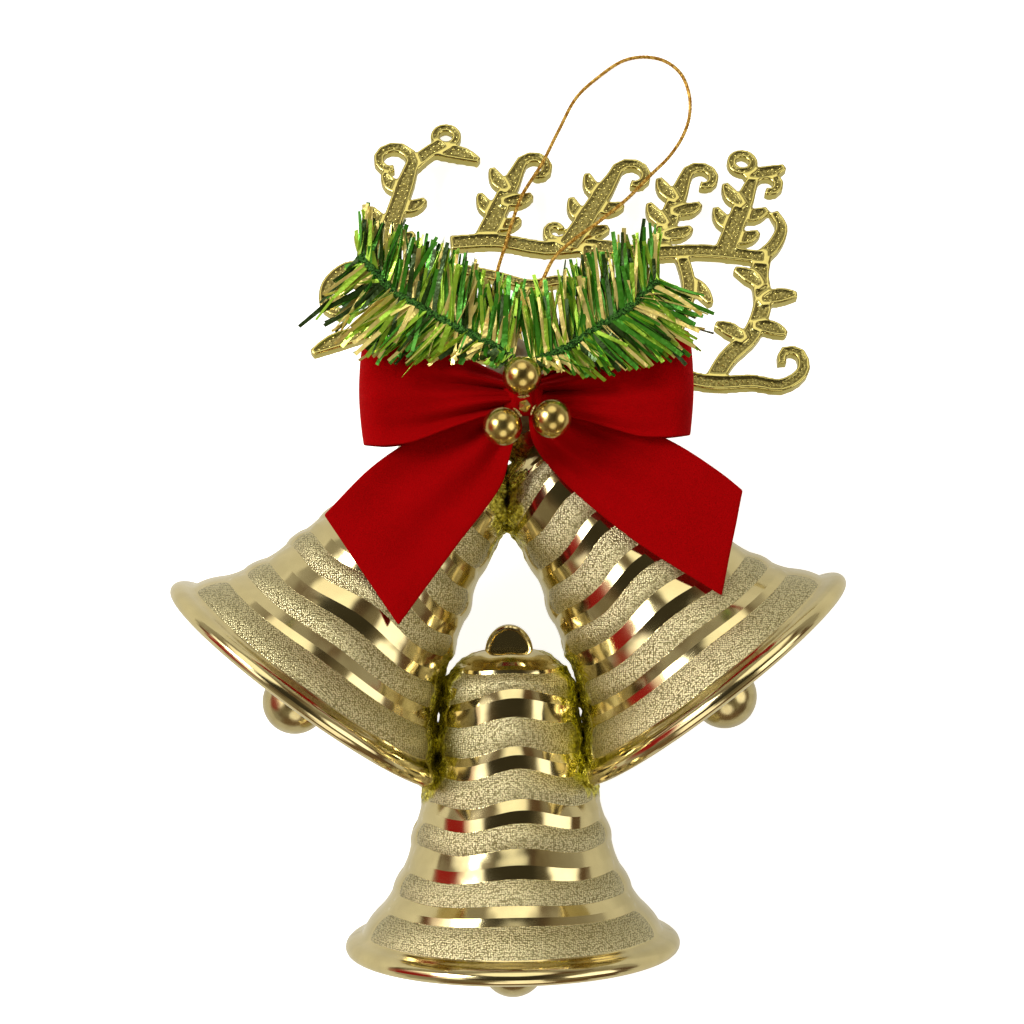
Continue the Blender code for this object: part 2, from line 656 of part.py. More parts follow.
def frond(base, top, side=1, radius=5.0, leaflets=((0.22, 1), (0.36, -1), (0.54, 1), (0.70, -1))):
    """A fern frond: a leaning stem that rolls up to the side at its top, with leaflets on both sides."""
    base, top = Vector(base), Vector(top)
    along = (top - base).normalized()
    stem = [(*base.lerp(top, t), FROND_WIDTH - 1.2 * t) for t in (0, 0.2, 0.4, 0.6, 0.8)]
    centre = top + Vector((side * radius, 0))
    strokes = [stem + curl(centre, radius, 90 + 90 * side, -0.80 * side, FROND_WIDTH - 2.3, 2.4)]
    for share, hand in leaflets:
        foot = base.lerp(top, share)
        turn = math.radians(-52 * hand)
        out = Vector((along.x * math.cos(turn) - along.y * math.sin(turn),
                      along.x * math.sin(turn) + along.y * math.cos(turn)))
        strokes.append(leaf(foot, foot + out * LEAFLET_LENGTH, LEAFLET_WIDTH, -0.8 * hand))
    return strokes


def fretwork():
    """Every stroke of the sign as (u, v, width) points, in millimetres."""
    strokes = []
    # upper row: a frond that rolls to the left at the left end, four that roll to the right
    strokes += frond((-37.0, 22.0), (-29.5, 59.0), side=-1, radius=6.0)
    strokes += frond((-8.0, 32.0), (1.0, 59.0))
    strokes += frond((16.0, 32.0), (28.5, 58.0), radius=5.6)
    strokes += frond((41.0, 32.0), (49.0, 58.5))
    strokes += frond((60.0, 32.0), (68.0, 57.4), radius=4.8)
    strokes += [
        # stalks of the two eyelets, with a leaf beside each
        vine((-30, 57), (-25.5, 62.6), (-20.6, 66.6), width=4.4),
        leaf((-24, 63), (-10.4, 60.8), 5.0, 1.4),
        leaf((66, 60.8), (78, 64.4), 4.6, -0.8),
        # wavy stem under the upper row
        vine((-17, 31.4), (-4, 33), (10, 31.2), (24, 33), (38, 31.4), (54, 33.2), (72, 32), width=4.8, tip=4.2),
        curl((12.6, 37.4), 3.4, -60, -0.8, 2.8),
        # right edge: leaves on a stem that runs down to the lower spray
        vine((70, 31.5), (74.4, 36.5), (76.6, 43), (74.4, 48), width=4.4, tip=2.6),
        vine((71.3, 34), (70.2, 26), (71, 17), (67.6, 6), (61, -2), (57, -10), width=5.2),
        leaf((70.4, 17), (80.6, 20), 5.0, 0.8),
        leaf((70.6, 22), (63, 27.6), 4.6, -0.8),
        leaf((68.4, 9), (77.4, 6.6), 4.8, 0.8),
        leaf((65.6, 4), (57.6, 8.8), 4.8, -0.8),
        vine((46, -8.2), (57, -10.2), (68, -9.2), (76, -9.8), (81.8, -4.6), (80.6, 1.2), (76.2, 0.8), (76, -3),
             width=4.6, tip=2.4),
        # left edge
        vine((-37.6, 21), (-44.6, 21.2), (-50, 15), (-49.6, 8), (-44.6, 6), (-42.6, 10.2), width=4.4, tip=2.6),
        leaf((-35.5, 0.5), (-52.4, -7.4), 5.2, -1.4),
        leaf((-36.5, 24.5), (-43.6, 32.6), 4.2, 0.8),
        vine((-37.4, 24), (-36.6, 9), (-35, -2.5), width=3.8),
        # middle of the lower row, behind the tinsel and the bow
        vine((-36.5, -2), (-22, -6.4), (-6, -5.2), (10, -7), (28, -6.2), (47, -8.4), width=3.8),
        vine((-37.5, 13), (-28, 19.5), (-16, 22.5), (-4, 21), (6, 18.6), (14, 20.6), (22.5, 19.4), width=3.4),
        vine((22.2, 33), (21.6, 22), (24.5, 8), (24, -7), width=3.8),
        vine((-15, 22), (-18, 10), (-15.5, -6.4), width=3.6),
        vine((5, 19), (2, 8), (4.5, -6), width=3.6),
        vine((47.8, 33), (50.4, 20), (47, 6), (46.8, -8.5), width=4.0),
        leaf((49.6, 24), (56.5, 15.5), 4.2, 0.8),
    ]
    return strokes


def scroll_sign(root, gold):
    """All strokes and eyelets joined into one plate, laid in the sign's plane."""
    pieces = [stroke(points) for points in fretwork()]
    plate = None
    step = 0.02  # each stroke is a hair taller than the last, so no two faces lie in one plane
    for i, outline in enumerate(pieces):
        lift = (i % 8) * step * MM
        mesh = prism("stroke", [(p.x * MM, p.y * MM) for p in outline], -lift / 2, SIGN_THICKNESS - lift)
        if plate is None:
            plate = add("scroll_sign", mesh, gold, root)
        else:
            combine(plate, "UNION", helper(f"stroke_{i:02d}", mesh, root))
    for i, (u, v) in enumerate(EYELETS):
        place = (u * MM, v * MM, 0)
        disc = cylinder("eyelet", EYELET_RADIUS, 0.05 * MM, SIGN_THICKNESS - 0.05 * MM, 20)
        combine(plate, "UNION", helper(f"eyelet_{i}", disc, root, place))
    for i, (u, v) in enumerate(EYELETS):
        hole = cylinder("hole", EYELET_HOLE, -SIGN_THICKNESS, 2 * SIGN_THICKNESS, 12)
        combine(plate, "DIFFERENCE", helper(f"eyelet_hole_{i}", hole, root, (u * MM, v * MM, 0)))
    return plate


# ---------------------------------------------------------------- hanging cord

CORD_ROUTE = [
    (-1.1, 49.6, 40.6), (-2.2, 57, 35.2), (-2.0, 66.2, 29.6), (0.6, 75.2, 24.8), (2.1, 80.6, 21.9), (5.3, 89.8, 16.9),
    (11.2, 99.8, 11.4), (16.1, 110, 5.8), (21.9, 120.9, 1.6), (28.6, 127, 0.8), (35.4, 131.3, 0.8),
    (41.6, 132.4, 0.8), (47.7, 131.1, 0.8), (52.3, 127.3, 0.8), (54.6, 121.1, 1.2), (54.5, 114.9, 2.9),
    (52.3, 108.4, 6.0), (47.9, 101.7, 9.3), (42.1, 95.8, 12.5), (35.2, 88.6, 16.5), (26.1, 81, 20.8),
    (20, 76.5, 23.4), (14, 70.8, 26.6), (10.2, 63.4, 30.7), (7, 58.5, 33.4), (5.1, 52.2, 38.4), (4.0, 48.8, 41.6),
]


def cord(root, thread):
    points = smooth_through(in_mm(CORD_ROUTE), CORD_POINTS)
    add("hanging_cord", tube("cord", points, CORD_DIAMETER / 2), thread, root)
    knot = ball("knot", CORD_KNOT_RADIUS, 12, 8)
    add("cord_knot", knot, thread, root, in_mm([CORD_KNOT])[0])


# ---------------------------------------------------------------- the whole ornament

def centre_on_origin(root, left_out):
    """Move the ornament so that the middle of its box in X and Y, without the cord, is the origin."""
    bpy.context.view_layer.update()
    graph = bpy.context.evaluated_depsgraph_get()
    places = []
    for obj in bpy.context.scene.objects:
        if obj.type == "EMPTY" or obj.hide_render or obj.name in left_out:
            continue
        mesh = obj.evaluated_get(graph).to_mesh()
        places += [obj.matrix_world @ vert.co for vert in mesh.vertices]
        obj.evaluated_get(graph).to_mesh_clear()
    for axis in (0, 1):
        values = [place[axis] for place in places]
        root.location[axis] = -(min(values) + max(values)) / 2


def main():
    clear_scene()
    root = empty("ornament")
    gold_plastic = material("gold_plastic", (0.62, 0.52, 0.24), 0.28, 1.0)
    sign_gold = material("sign_gold", (0.58, 0.50, 0.16), 0.30, 1.0)
    berry_gold = material("berry_gold", (0.55, 0.42, 0.14), 0.14, 1.0)
    glitter = material("gold_glitter", (0.66, 0.54, 0.22), 0.45, 1.0)
    velvet = material("red_velvet", (0.42, 0.0, 0.0), 0.9, 0.0)
    foil = material("tinsel_foil", (0.12, 0.42, 0.06), 0.3, 0.6)
    thread = material("gold_thread", (0.52, 0.27, 0.03), 0.45, 0.7)
    wire = material("steel_wire", (0.45, 0.43, 0.40), 0.35, 1.0)
    glue = material("hot_melt_glue", (0.78, 0.66, 0.40), 0.35, 0.0)

    side_bells = bells(root, gold_plastic, wire)
    bow(root, velvet)
    glue_bead(root, glue, side_bells)
    berries(root, berry_gold, glitter, wire)
    tinsel(root, foil, wire)
    plate = scroll_sign(root, sign_gold)
    cord(root, thread)

    # The sign's strokes are drawn flat: its joined mesh is laid in the sign's plane last.
    bpy.context.view_layer.update()
    graph = bpy.context.evaluated_depsgraph_get()
    joined = bpy.data.meshes.new_from_object(plate.evaluated_get(graph))
    joined.transform(sign_lay())
    plate.modifiers.clear()
    plate.data = joined

    centre_on_origin(root, left_out=("hanging_cord", "cord_knot"))


main()
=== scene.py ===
# %% [markdown]
# Christmas bell ornament, looks only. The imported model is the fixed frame: three fused plastic bells with their
# clappers, a fretwork sign, a velvet bow, berries, tinsel and a cord. Every piece here is modelled round a node of
# that frame and stands in for it, so its place always comes from the frame and never from a number typed twice.

import json
import math
from contextlib import contextmanager

import bmesh
import bpy
import numpy as np
from mathutils import Matrix, Vector, noise
from mathutils.bvhtree import BVHTree

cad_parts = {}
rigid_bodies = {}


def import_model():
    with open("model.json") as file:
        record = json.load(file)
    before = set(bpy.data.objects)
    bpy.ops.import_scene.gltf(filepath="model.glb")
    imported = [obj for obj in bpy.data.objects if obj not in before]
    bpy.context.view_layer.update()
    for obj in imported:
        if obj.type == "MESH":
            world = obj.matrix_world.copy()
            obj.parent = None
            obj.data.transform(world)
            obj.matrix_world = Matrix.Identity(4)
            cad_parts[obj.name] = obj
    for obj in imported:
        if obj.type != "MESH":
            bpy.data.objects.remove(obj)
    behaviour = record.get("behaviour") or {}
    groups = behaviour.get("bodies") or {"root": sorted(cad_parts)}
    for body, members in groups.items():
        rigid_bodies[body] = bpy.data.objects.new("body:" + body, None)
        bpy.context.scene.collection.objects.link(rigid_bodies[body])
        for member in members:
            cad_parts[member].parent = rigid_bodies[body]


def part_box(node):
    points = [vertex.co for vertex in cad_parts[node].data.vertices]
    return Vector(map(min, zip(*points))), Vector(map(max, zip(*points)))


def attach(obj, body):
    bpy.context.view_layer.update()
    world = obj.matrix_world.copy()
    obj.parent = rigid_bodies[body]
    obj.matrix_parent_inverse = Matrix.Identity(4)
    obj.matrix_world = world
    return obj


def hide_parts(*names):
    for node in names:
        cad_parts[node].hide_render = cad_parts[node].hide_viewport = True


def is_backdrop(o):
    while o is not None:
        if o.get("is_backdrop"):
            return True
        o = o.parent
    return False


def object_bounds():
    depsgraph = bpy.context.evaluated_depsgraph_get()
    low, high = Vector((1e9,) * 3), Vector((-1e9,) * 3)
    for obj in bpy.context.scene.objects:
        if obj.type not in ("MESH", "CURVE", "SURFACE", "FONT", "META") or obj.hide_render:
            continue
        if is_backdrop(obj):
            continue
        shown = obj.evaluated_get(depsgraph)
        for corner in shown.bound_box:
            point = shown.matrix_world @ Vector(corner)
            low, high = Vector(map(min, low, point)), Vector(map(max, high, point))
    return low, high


for startup in list(bpy.data.objects):
    bpy.data.objects.remove(startup)
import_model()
CAD_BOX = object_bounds()
MM = 0.001
rng = np.random.default_rng(12)


def middle(node):
    low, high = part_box(node)
    return (low + high) / 2


def size_of(node):
    low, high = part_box(node)
    return high - low


def shown(vector):
    """A vector in round millimetres, for the printed notes."""
    return [round(x / MM, 1) for x in vector]


# The bow, the tinsel and the cord are laid out from the mirror line, in millimetres; the frame says where that is.
LAID_OUT_KNOT = Vector((4.8, 30.0, 68.42)) * MM
SHIFT = middle("bow_knot") - LAID_OUT_KNOT
SHIFT.z = 0.0
BOW_Z = middle("bow_loop_left").z
print("box of the frame, mm:", shown(CAD_BOX[1] - CAD_BOX[0]), "shift", shown(SHIFT))

# %% [markdown]
# The camera looks straight down on the ornament, as it lies on its back, and is rolled by less than a degree. A
# 70 mm lens half a metre away gives the slight perspective that shows the lower bell's flare.

# %% Camera
CAMERA_HEIGHT = 585 * MM
CAMERA_ROLL = math.radians(-0.75)
bpy.ops.object.camera_add(location=(1.285 * MM, SHIFT.y, CAMERA_HEIGHT), rotation=(0, 0, CAMERA_ROLL))
camera = bpy.context.object
camera.data.lens = 70.3
camera.data.sensor_width = 36.0
camera.data.clip_start = 0.01
bpy.context.scene.camera = camera
bpy.context.scene.view_settings.view_transform = "Standard"

# %% [markdown]
# Small helpers do the hand work: one adds a primitive with nothing else selected, one opens edit mode on a piece,
# one selects by place or normal inside it, and one applies a modifier as soon as it is set.


# %% Modelling helpers
def added(name, operator, **values):
    """A new primitive, alone in the selection, with its place moved into its mesh."""
    bpy.ops.object.select_all(action="DESELECT")
    operator(**values)
    obj = bpy.context.object
    obj.name = obj.data.name = name
    return placed(obj, Matrix.Identity(4))


def linked(name, data):
    """A new object round a mesh or a curve."""
    obj = bpy.data.objects.new(name, data)
    bpy.context.scene.collection.objects.link(obj)
    return obj


def only(obj):
    bpy.ops.object.select_all(action="DESELECT")
    obj.select_set(True)
    bpy.context.view_layer.objects.active = obj
    return obj


@contextmanager
def editing(obj):
    """Edit mode on one piece, with everything selected at the start."""
    only(obj)
    bpy.ops.object.mode_set(mode="EDIT")
    bpy.ops.mesh.select_mode(type="VERT")
    bpy.ops.mesh.select_all(action="SELECT")
    yield
    bpy.ops.object.mode_set(mode="OBJECT")


def choose(obj, kind, test):
    """In edit mode, selects the verts, edges or faces that pass the test, and nothing else."""
    bpy.ops.mesh.select_mode(type={"verts": "VERT", "edges": "EDGE", "faces": "FACE"}[kind])
    bpy.ops.mesh.select_all(action="DESELECT")
    bm = bmesh.from_edit_mesh(obj.data)
    for item in getattr(bm, kind):
        if test(item):
            item.select_set(True)
    bm.select_flush_mode()
    bmesh.update_edit_mesh(obj.data)


def modified(obj, kind, **settings):
    """Adds a modifier, sets it and applies it."""
    only(obj)
    modifier = obj.modifiers.new(kind.title(), kind)
    for key, value in settings.items():
        setattr(modifier, key, value)
    bpy.ops.object.modifier_apply(modifier=modifier.name)
    return obj


def raised(height):
    """In edit mode, extrudes the selection upwards by that many millimetres."""
    bpy.ops.mesh.extrude_region_move(TRANSFORM_OT_translate={"value": (0, 0, height * MM)})


def line_of(name, points):
    """An open line of edges through points: one vertex, extruded from point to point."""
    obj = added(name, bpy.ops.mesh.primitive_plane_add, size=1 * MM)
    with editing(obj):
        bpy.ops.mesh.merge(type="CENTER")
        bpy.ops.transform.translate(value=points[0])
        for a, b in zip(points, points[1:]):
            step = [q - p for p, q in zip(a, b)]
            bpy.ops.mesh.extrude_region_move(TRANSFORM_OT_translate={"value": step})
    return obj


def join(first, *others):
    bpy.ops.object.select_all(action="DESELECT")
    for obj in (first, *others):
        obj.select_set(True)
    bpy.context.view_layer.objects.active = first
    bpy.ops.object.join()
    return first


def placed(obj, matrix):
    """Moves a mesh to its place and leaves its object at the origin."""
    obj.data.transform(matrix @ obj.matrix_world)
    obj.matrix_world = Matrix.Identity(4)
    return obj


def pointing(place, way):
    """The lay at a place in which local Z points that way."""
    return Matrix.Translation(place) @ way.normalized().to_track_quat("Z", "Y").to_matrix().to_4x4()


def copied(obj, name):
    twin = linked(name, obj.data.copy())
    twin.data.name = name
    return twin


def many(name, copies, faces):
    """One mesh from many moved copies of a shape: the points of each copy, and the shape's faces."""
    mesh = bpy.data.meshes.new(name)
    size = len(copies[0])
    all_faces = [[i + size * n for i in face] for n in range(len(copies)) for face in faces]
    mesh.from_pydata(np.concatenate(copies).tolist(), [], all_faces)
    return linked(name, mesh)


def points_of(obj, kind="co"):
    """The points of a mesh, or its normals."""
    values = np.empty(len(obj.data.vertices) * 3, np.float32)
    obj.data.vertices.foreach_get(kind, values)
    return values.reshape(-1, 3).astype(float)


def move_points(obj, points):
    obj.data.vertices.foreach_set("co", np.asarray(points, np.float32).ravel())
    obj.data.update()


def mark(obj, name, values):
    """Stores one number for each vertex, for the finish to read."""
    layer = obj.data.attributes.get(name) or obj.data.attributes.new(name, "FLOAT", "POINT")
    layer.data.foreach_set("value", np.asarray(values, np.float32))


def smoothly(x, low, high):
    t = np.clip((x - low) / (high - low), 0, 1)
    return t * t * (3 - 2 * t)


def shade(obj, degrees):
    only(obj)
    bpy.ops.object.shade_smooth_by_angle(angle=math.radians(degrees))
    return obj


def face_out(obj):
    with editing(obj):
        bpy.ops.mesh.remove_doubles(threshold=1e-6)
        bpy.ops.mesh.normals_make_consistent(inside=False)
    return obj


def set_up(obj, slot, *nodes, body="root"):
    """A finished piece: its look, its slot in the record, the nodes it stands for and its body."""
    obj.data.materials.clear()
    obj.data.materials.append(FINISHES[slot])
    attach(obj, body)
    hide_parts(*nodes)


SPLINE_STEPS = 24


def between(a, b, start, end, t):
    """From a at the start to b at the end, in a straight line."""
    return a * ((end - t) / (end - start)) + b * ((t - start) / (end - start))


def smooth_through(points, count):
    """Evenly spaced points on a centripetal Catmull-Rom curve through the given points."""
    knots = [Vector(p) for p in points]
    knots = [2 * knots[0] - knots[1], *knots, 2 * knots[-1] - knots[-2]]
    dense = []
    for a, b, c, d in zip(knots, knots[1:], knots[2:], knots[3:]):
        t0, t1 = 0.0, math.sqrt((b - a).length)
        t2 = t1 + math.sqrt((c - b).length)
        t3 = t2 + math.sqrt((d - c).length)
        for i in range(SPLINE_STEPS):
            t = t1 + (t2 - t1) * i / SPLINE_STEPS
            second = between(b, c, t1, t2, t)
            early = between(between(a, b, t0, t1, t), second, t0, t2, t)
            late = between(second, between(c, d, t2, t3, t), t1, t3, t)
            dense.append(between(early, late, t1, t2, t))
    dense.append(knots[-2])
    run = np.concatenate([[0.0], np.cumsum([(b - a).length for a, b in zip(dense, dense[1:])])])
    wanted = np.linspace(0, run[-1], count)
    return [Vector(np.interp(w, run, [p[i] for p in dense]) for i in range(3)) for w in wanted]


# %% [markdown]
# Shader maths reads best as arithmetic, so a socket is wrapped in a small class whose + - * add the Math nodes.
# `Nodes` grows a node tree: its node() makes any node from its type, its settings and its sockets. `Finish` is one
# material.


# %% Shader helpers
class Value:
    """A number that varies over a surface. Sums and products with it add Math nodes."""

    def __init__(self, nodes, socket):
        self.nodes = nodes
        self.socket = socket

    def math(self, operation, *values):
        return self.nodes.node("Math", {"operation": operation}, dict(enumerate(values)))

    def __add__(self, other):
        return self.math("ADD", self, other)

    def __sub__(self, other):
        return self.math("SUBTRACT", self, other)

    def __rsub__(self, other):
        return self.math("SUBTRACT", other, self)

    def __mul__(self, other):
        return self.math("MULTIPLY", self, other)

    __radd__ = __add__
    __rmul__ = __mul__

    def ramp(self, low, high):
        """0 below low, 1 above high, straight in between."""
        return self.nodes.node("MapRange", {}, {"Value": self, "From Min": low, "From Max": high})


class Nodes:
    """A node tree that grows by one call for each node."""

    def __init__(self, tree, coordinates):
        self.tree = tree
        self.place = self.node("TexCoord", output=coordinates)

    def node(self, kind, settings=(), sockets=(), output=0):
        made = self.tree.nodes.new("ShaderNode" + kind)
        for key, value in dict(settings).items():
            if key == "stops":
                ramp = made.color_ramp
                while len(ramp.elements) < len(value):
                    ramp.elements.new(0.5)
                for element, (position, colour) in zip(ramp.elements, value):
                    element.position = position
                    element.color = (*colour, 1.0)
            else:
                setattr(made, key, value)
        for key, value in dict(sockets).items():
            self.feed(made.inputs[key], value)
        return Value(self, made.outputs[output])

    def feed(self, socket, value):
        if isinstance(value, Value):
            self.tree.links.new(value.socket, socket)
        elif isinstance(value, tuple) and socket.type == "RGBA":
            socket.default_value = (*value, 1.0)
        else:
            socket.default_value = value

    def noise(self, size, detail=2.0):
        """Cloudy noise with patches of that size in metres, from 0 to 1."""
        return self.node("TexNoise", {}, {"Vector": self.place, "Scale": 1 / size, "Detail": detail})

    def cells(self, size, output="Distance", randomness=1.0):
        """Distance to the middle of the nearest cell, in cell sizes, or the cell's random colour."""
        sockets = {"Vector": self.place, "Scale": 1 / size, "Randomness": randomness}
        return self.node("TexVoronoi", {}, sockets, output)

    def stored(self, name):
        return self.node("Attribute", {"attribute_name": name}, output="Fac")

    def mix(self, factor, a, b):
        """Colour a where the factor is 0 and colour b where it is 1."""
        return self.node("Mix", {"data_type": "RGBA"}, {0: factor, 6: a, 7: b}, 2)

    def bump(self, height, depth, **under):
        return self.node("Bump", {}, {"Height": height, "Distance": depth, "Strength": 1.0, **under})


class Finish(Nodes):
    """One material: its nodes, with the Principled BSDF at their end."""

    def __init__(self, name, **sockets):
        self.material = bpy.data.materials.new(name)
        self.material.use_nodes = True
        super().__init__(self.material.node_tree, "Object")
        self.shader = self.tree.nodes["Principled BSDF"]
        self.surface(**sockets)

    def surface(self, **sockets):
        """Feeds the Principled BSDF: base_color is its Base Color socket, and so on."""
        for key, value in sockets.items():
            self.feed(self.shader.inputs[key.replace("_", " ").title().replace("Ior", "IOR")], value)
        return self.material


# %% [markdown]
# The gold is vacuum-metallised plastic: a mirror-like lacquered skin, slightly cloudy. Textured bands are stippled
# with dots about 0.6 mm apart, and the gaps between the dots are painted dark as shade. Where the bells were fused
# the skin puckered and turned yellow. The bands and the puckered places are stored on the mesh in millimetres, so
# that their borders stay crisp at any zoom.

# %% Finish: bells
DOT = 0.50 * MM


def gold_plastic():
    finish = Finish("metallised_gold", metallic=1.0)
    inside = finish.stored("stipple").ramp(-0.08, 0.10)
    pucker = finish.stored("pucker").ramp(0.06, 0.34)
    dots = finish.cells(DOT, randomness=0.6)
    dome = 1 - dots * dots * 2.2
    cloud = finish.noise(7 * MM, 3)
    speck = finish.noise(0.9 * MM, 1)
    smooth_gold = finish.mix(cloud.ramp(0.35, 0.7), (0.62, 0.53, 0.28), (0.71, 0.61, 0.33))
    # painted shade: the gold goes dark in the low gaps between the dots and light on their tops
    dots_with_painted_gap_shade = finish.mix(dome.ramp(0.15, 0.80), (0.29, 0.25, 0.12), (0.76, 0.69, 0.41))
    yellow = finish.mix(speck.ramp(0.35, 0.65), (0.26, 0.23, 0.015), (0.84, 0.78, 0.13))
    colour = finish.mix(inside, smooth_gold, dots_with_painted_gap_shade)
    colour = finish.mix(pucker, colour, yellow)
    colour = finish.mix(finish.stored("pucker").ramp(0.86, 1.0), colour, (0.06, 0.05, 0.005))
    roughness = 0.10 + cloud * 0.05 + inside * 0.18 + pucker * 0.12
    waves = finish.noise(6 * MM, 1) * 0.9
    normal = finish.bump(dome * inside * (1 - pucker) + waves * (1 - inside), 0.13 * MM)
    normal = finish.bump(finish.noise(0.8 * MM, 3) * pucker, 0.8 * MM, Normal=normal)
    return finish.surface(base_color=colour, roughness=roughness, normal=normal)


# %% [markdown]
# The sign has the same skin in a greener gold. Its sunk faces hold less light, so they are painted a darker olive as
# shade, and for that they are stored on the mesh too.
# Berries and clapper balls, glitter, steel and glue follow the same pattern with other numbers.


# %% Finish: sign, berries, clappers and glitter
def sign_gold():
    finish = Finish("sign_gold", metallic=1.0)
    sunk = finish.stored("sunk").ramp(0.2, 0.8)
    cloud = finish.noise(18 * MM, 2)
    grain = finish.cells(0.7 * MM)
    bright = finish.mix(cloud, (0.50, 0.44, 0.13), (0.66, 0.58, 0.20))
    # painted shade: the sunk faces get a darker olive than the raised edges
    sunk_painted_shade = finish.mix(grain.ramp(0.1, 0.6), (0.44, 0.39, 0.14), (0.20, 0.17, 0.05))
    return finish.surface(
        base_color=finish.mix(sunk, bright, sunk_painted_shade),
        roughness=0.16 + sunk * 0.16 + cloud * 0.05,
        normal=finish.bump((1 - grain) * sunk + finish.noise(3 * MM, 1) * 0.4, 0.10 * MM),
    )


def polished(name, dark, light):
    """Lacquered gold ball with a faintly cloudy skin."""
    finish = Finish(name, metallic=1.0, coat_weight=0.4)
    finish.shader.inputs["Coat Roughness"].default_value = 0.05
    cloud = finish.noise(4 * MM, 3)
    return finish.surface(
        base_color=finish.mix(cloud.ramp(0.3, 0.7), dark, light),
        roughness=0.20 + cloud * 0.06,
        normal=finish.bump(finish.noise(1.6 * MM, 2), 0.03 * MM),
    )


def glitter(name, dark, light):
    """Flakes, each with its own colour and its own tilt."""
    finish = Finish(name, metallic=0.9)
    flake = finish.cells(0.35 * MM, output="Color")
    shine = finish.node("SeparateColor", {}, {0: flake}, "Red")
    return finish.surface(
        base_color=finish.mix(shine, dark, light),
        roughness=0.2 + shine * 0.35,
        normal=finish.bump(shine + finish.cells(0.35 * MM), 0.30 * MM),
    )


def clouded(name, size, dark, light, roughness, depth, **sockets):
    """Clouds of that size drive the colour, the roughness (from, by) and the relief."""
    finish = Finish(name, **sockets)
    cloud = finish.noise(size, 2)
    rough = roughness[0] + cloud * roughness[1]
    return finish.surface(
        base_color=finish.mix(cloud, dark, light), roughness=rough, normal=finish.bump(cloud, depth)
    )


# %% [markdown]
# Velvet is a short pile: rough, deep red, and lighter where the pile is seen edge-on, which the sheen gives. Foil
# strips carry their tint on the mesh, one number for each strip. The thread's plies are geometry, so its finish only
# adds the metallic glints, and hot-melt glue is cloudy and lets light in; its amber is darkened as painted shade.


# %% Finish: velvet, foil and thread, and the list of all
def velvet():
    finish = Finish("red_velvet", sheen_weight=0.10, sheen_roughness=0.4)
    finish.shader.inputs["Sheen Tint"].default_value = (0.9, 0.02, 0.02, 1.0)
    finish.shader.inputs["Specular IOR Level"].default_value = 0.04
    pile = finish.noise(0.25 * MM, 2)
    brushed = finish.noise(11 * MM, 2)
    colour = finish.mix(brushed.ramp(0.3, 0.7), (0.24, 0.0, 0.0), (0.31, 0.0, 0.001))
    return finish.surface(
        base_color=finish.mix(pile.ramp(0.35, 0.6), colour, (0.33, 0.0, 0.001)),
        roughness=0.82 + pile * 0.16,
        normal=finish.bump(pile + brushed * 0.6, 0.20 * MM),
    )


TINTS = [
    (0.0, (0.02, 0.05, 0.006)), (0.14, (0.05, 0.27, 0.012)), (0.42, (0.32, 0.58, 0.03)), (0.70, (0.88, 0.72, 0.20)),
]


def foil():
    finish = Finish("tinsel_foil", metallic=0.55)
    finish.shader.inputs["Specular IOR Level"].default_value = 0.6
    tint = finish.node("ValToRGB", {"stops": TINTS}, {0: finish.stored("tint")})
    finish.tree.nodes[-1].color_ramp.interpolation = "CONSTANT"
    crinkle = finish.noise(1.1 * MM, 2)
    return finish.surface(
        base_color=finish.mix(crinkle.ramp(0.3, 0.9), tint, finish.node("Gamma", {}, {0: tint, 1: 0.75})),
        roughness=0.12 + crinkle * 0.16,
        normal=finish.bump(crinkle, 0.10 * MM),
    )


def gold_thread():
    finish = Finish("gold_thread", metallic=0.8)
    glint = finish.cells(0.5 * MM, output="Color")
    shine = finish.node("SeparateColor", {}, {0: glint}, "Green")
    return finish.surface(
        base_color=finish.mix(shine.ramp(0.3, 0.9), (0.34, 0.15, 0.012), (0.84, 0.55, 0.12)),
        roughness=0.28 + shine * 0.2,
        normal=finish.bump(finish.noise(0.3 * MM, 2), 0.08 * MM),
    )


# One finish for each slot of the record.
FINISHES = {
    "gold_plastic": gold_plastic(),
    "sign_gold": sign_gold(),
    "berry_gold": polished("berry_gold", (0.42, 0.31, 0.08), (0.60, 0.46, 0.15)),
    "clapper_gold": polished("clapper_gold", (0.44, 0.36, 0.16), (0.58, 0.50, 0.25)),
    "gold_glitter": glitter("gold_glitter", (0.36, 0.26, 0.05), (0.95, 0.82, 0.42)),
    "tinsel_core": glitter("tinsel_core", (0.004, 0.02, 0.004), (0.10, 0.30, 0.05)),
    "steel_wire": clouded(
        "steel_wire", 0.5 * MM, (0.42, 0.40, 0.37), (0.60, 0.58, 0.54), (0.24, 0.2), 0.03 * MM, metallic=1.0
    ),
    "red_velvet": velvet(),
    "tinsel_foil": foil(),
    "gold_thread": gold_thread(),
    # the glue's amber is darkened here as painted shade, for the shade it lies in under the tinsel
    "hot_melt_glue": clouded(
        "hot_melt_glue", 3 * MM, (0.12, 0.08, 0.03), (0.18, 0.13, 0.05), (0.35, 0), 0.2 * MM,
        subsurface_weight=0.4, subsurface_scale=2 * MM,
    ),
}
print("finishes:", len(FINISHES))

# %% [markdown]
# The cord is a fixed length of twisted metallic thread, so it comes first. Three plies are drawn as the section of a
# curve, and the curve's tilt twists them along the route, which gives real grooves for the light to catch.

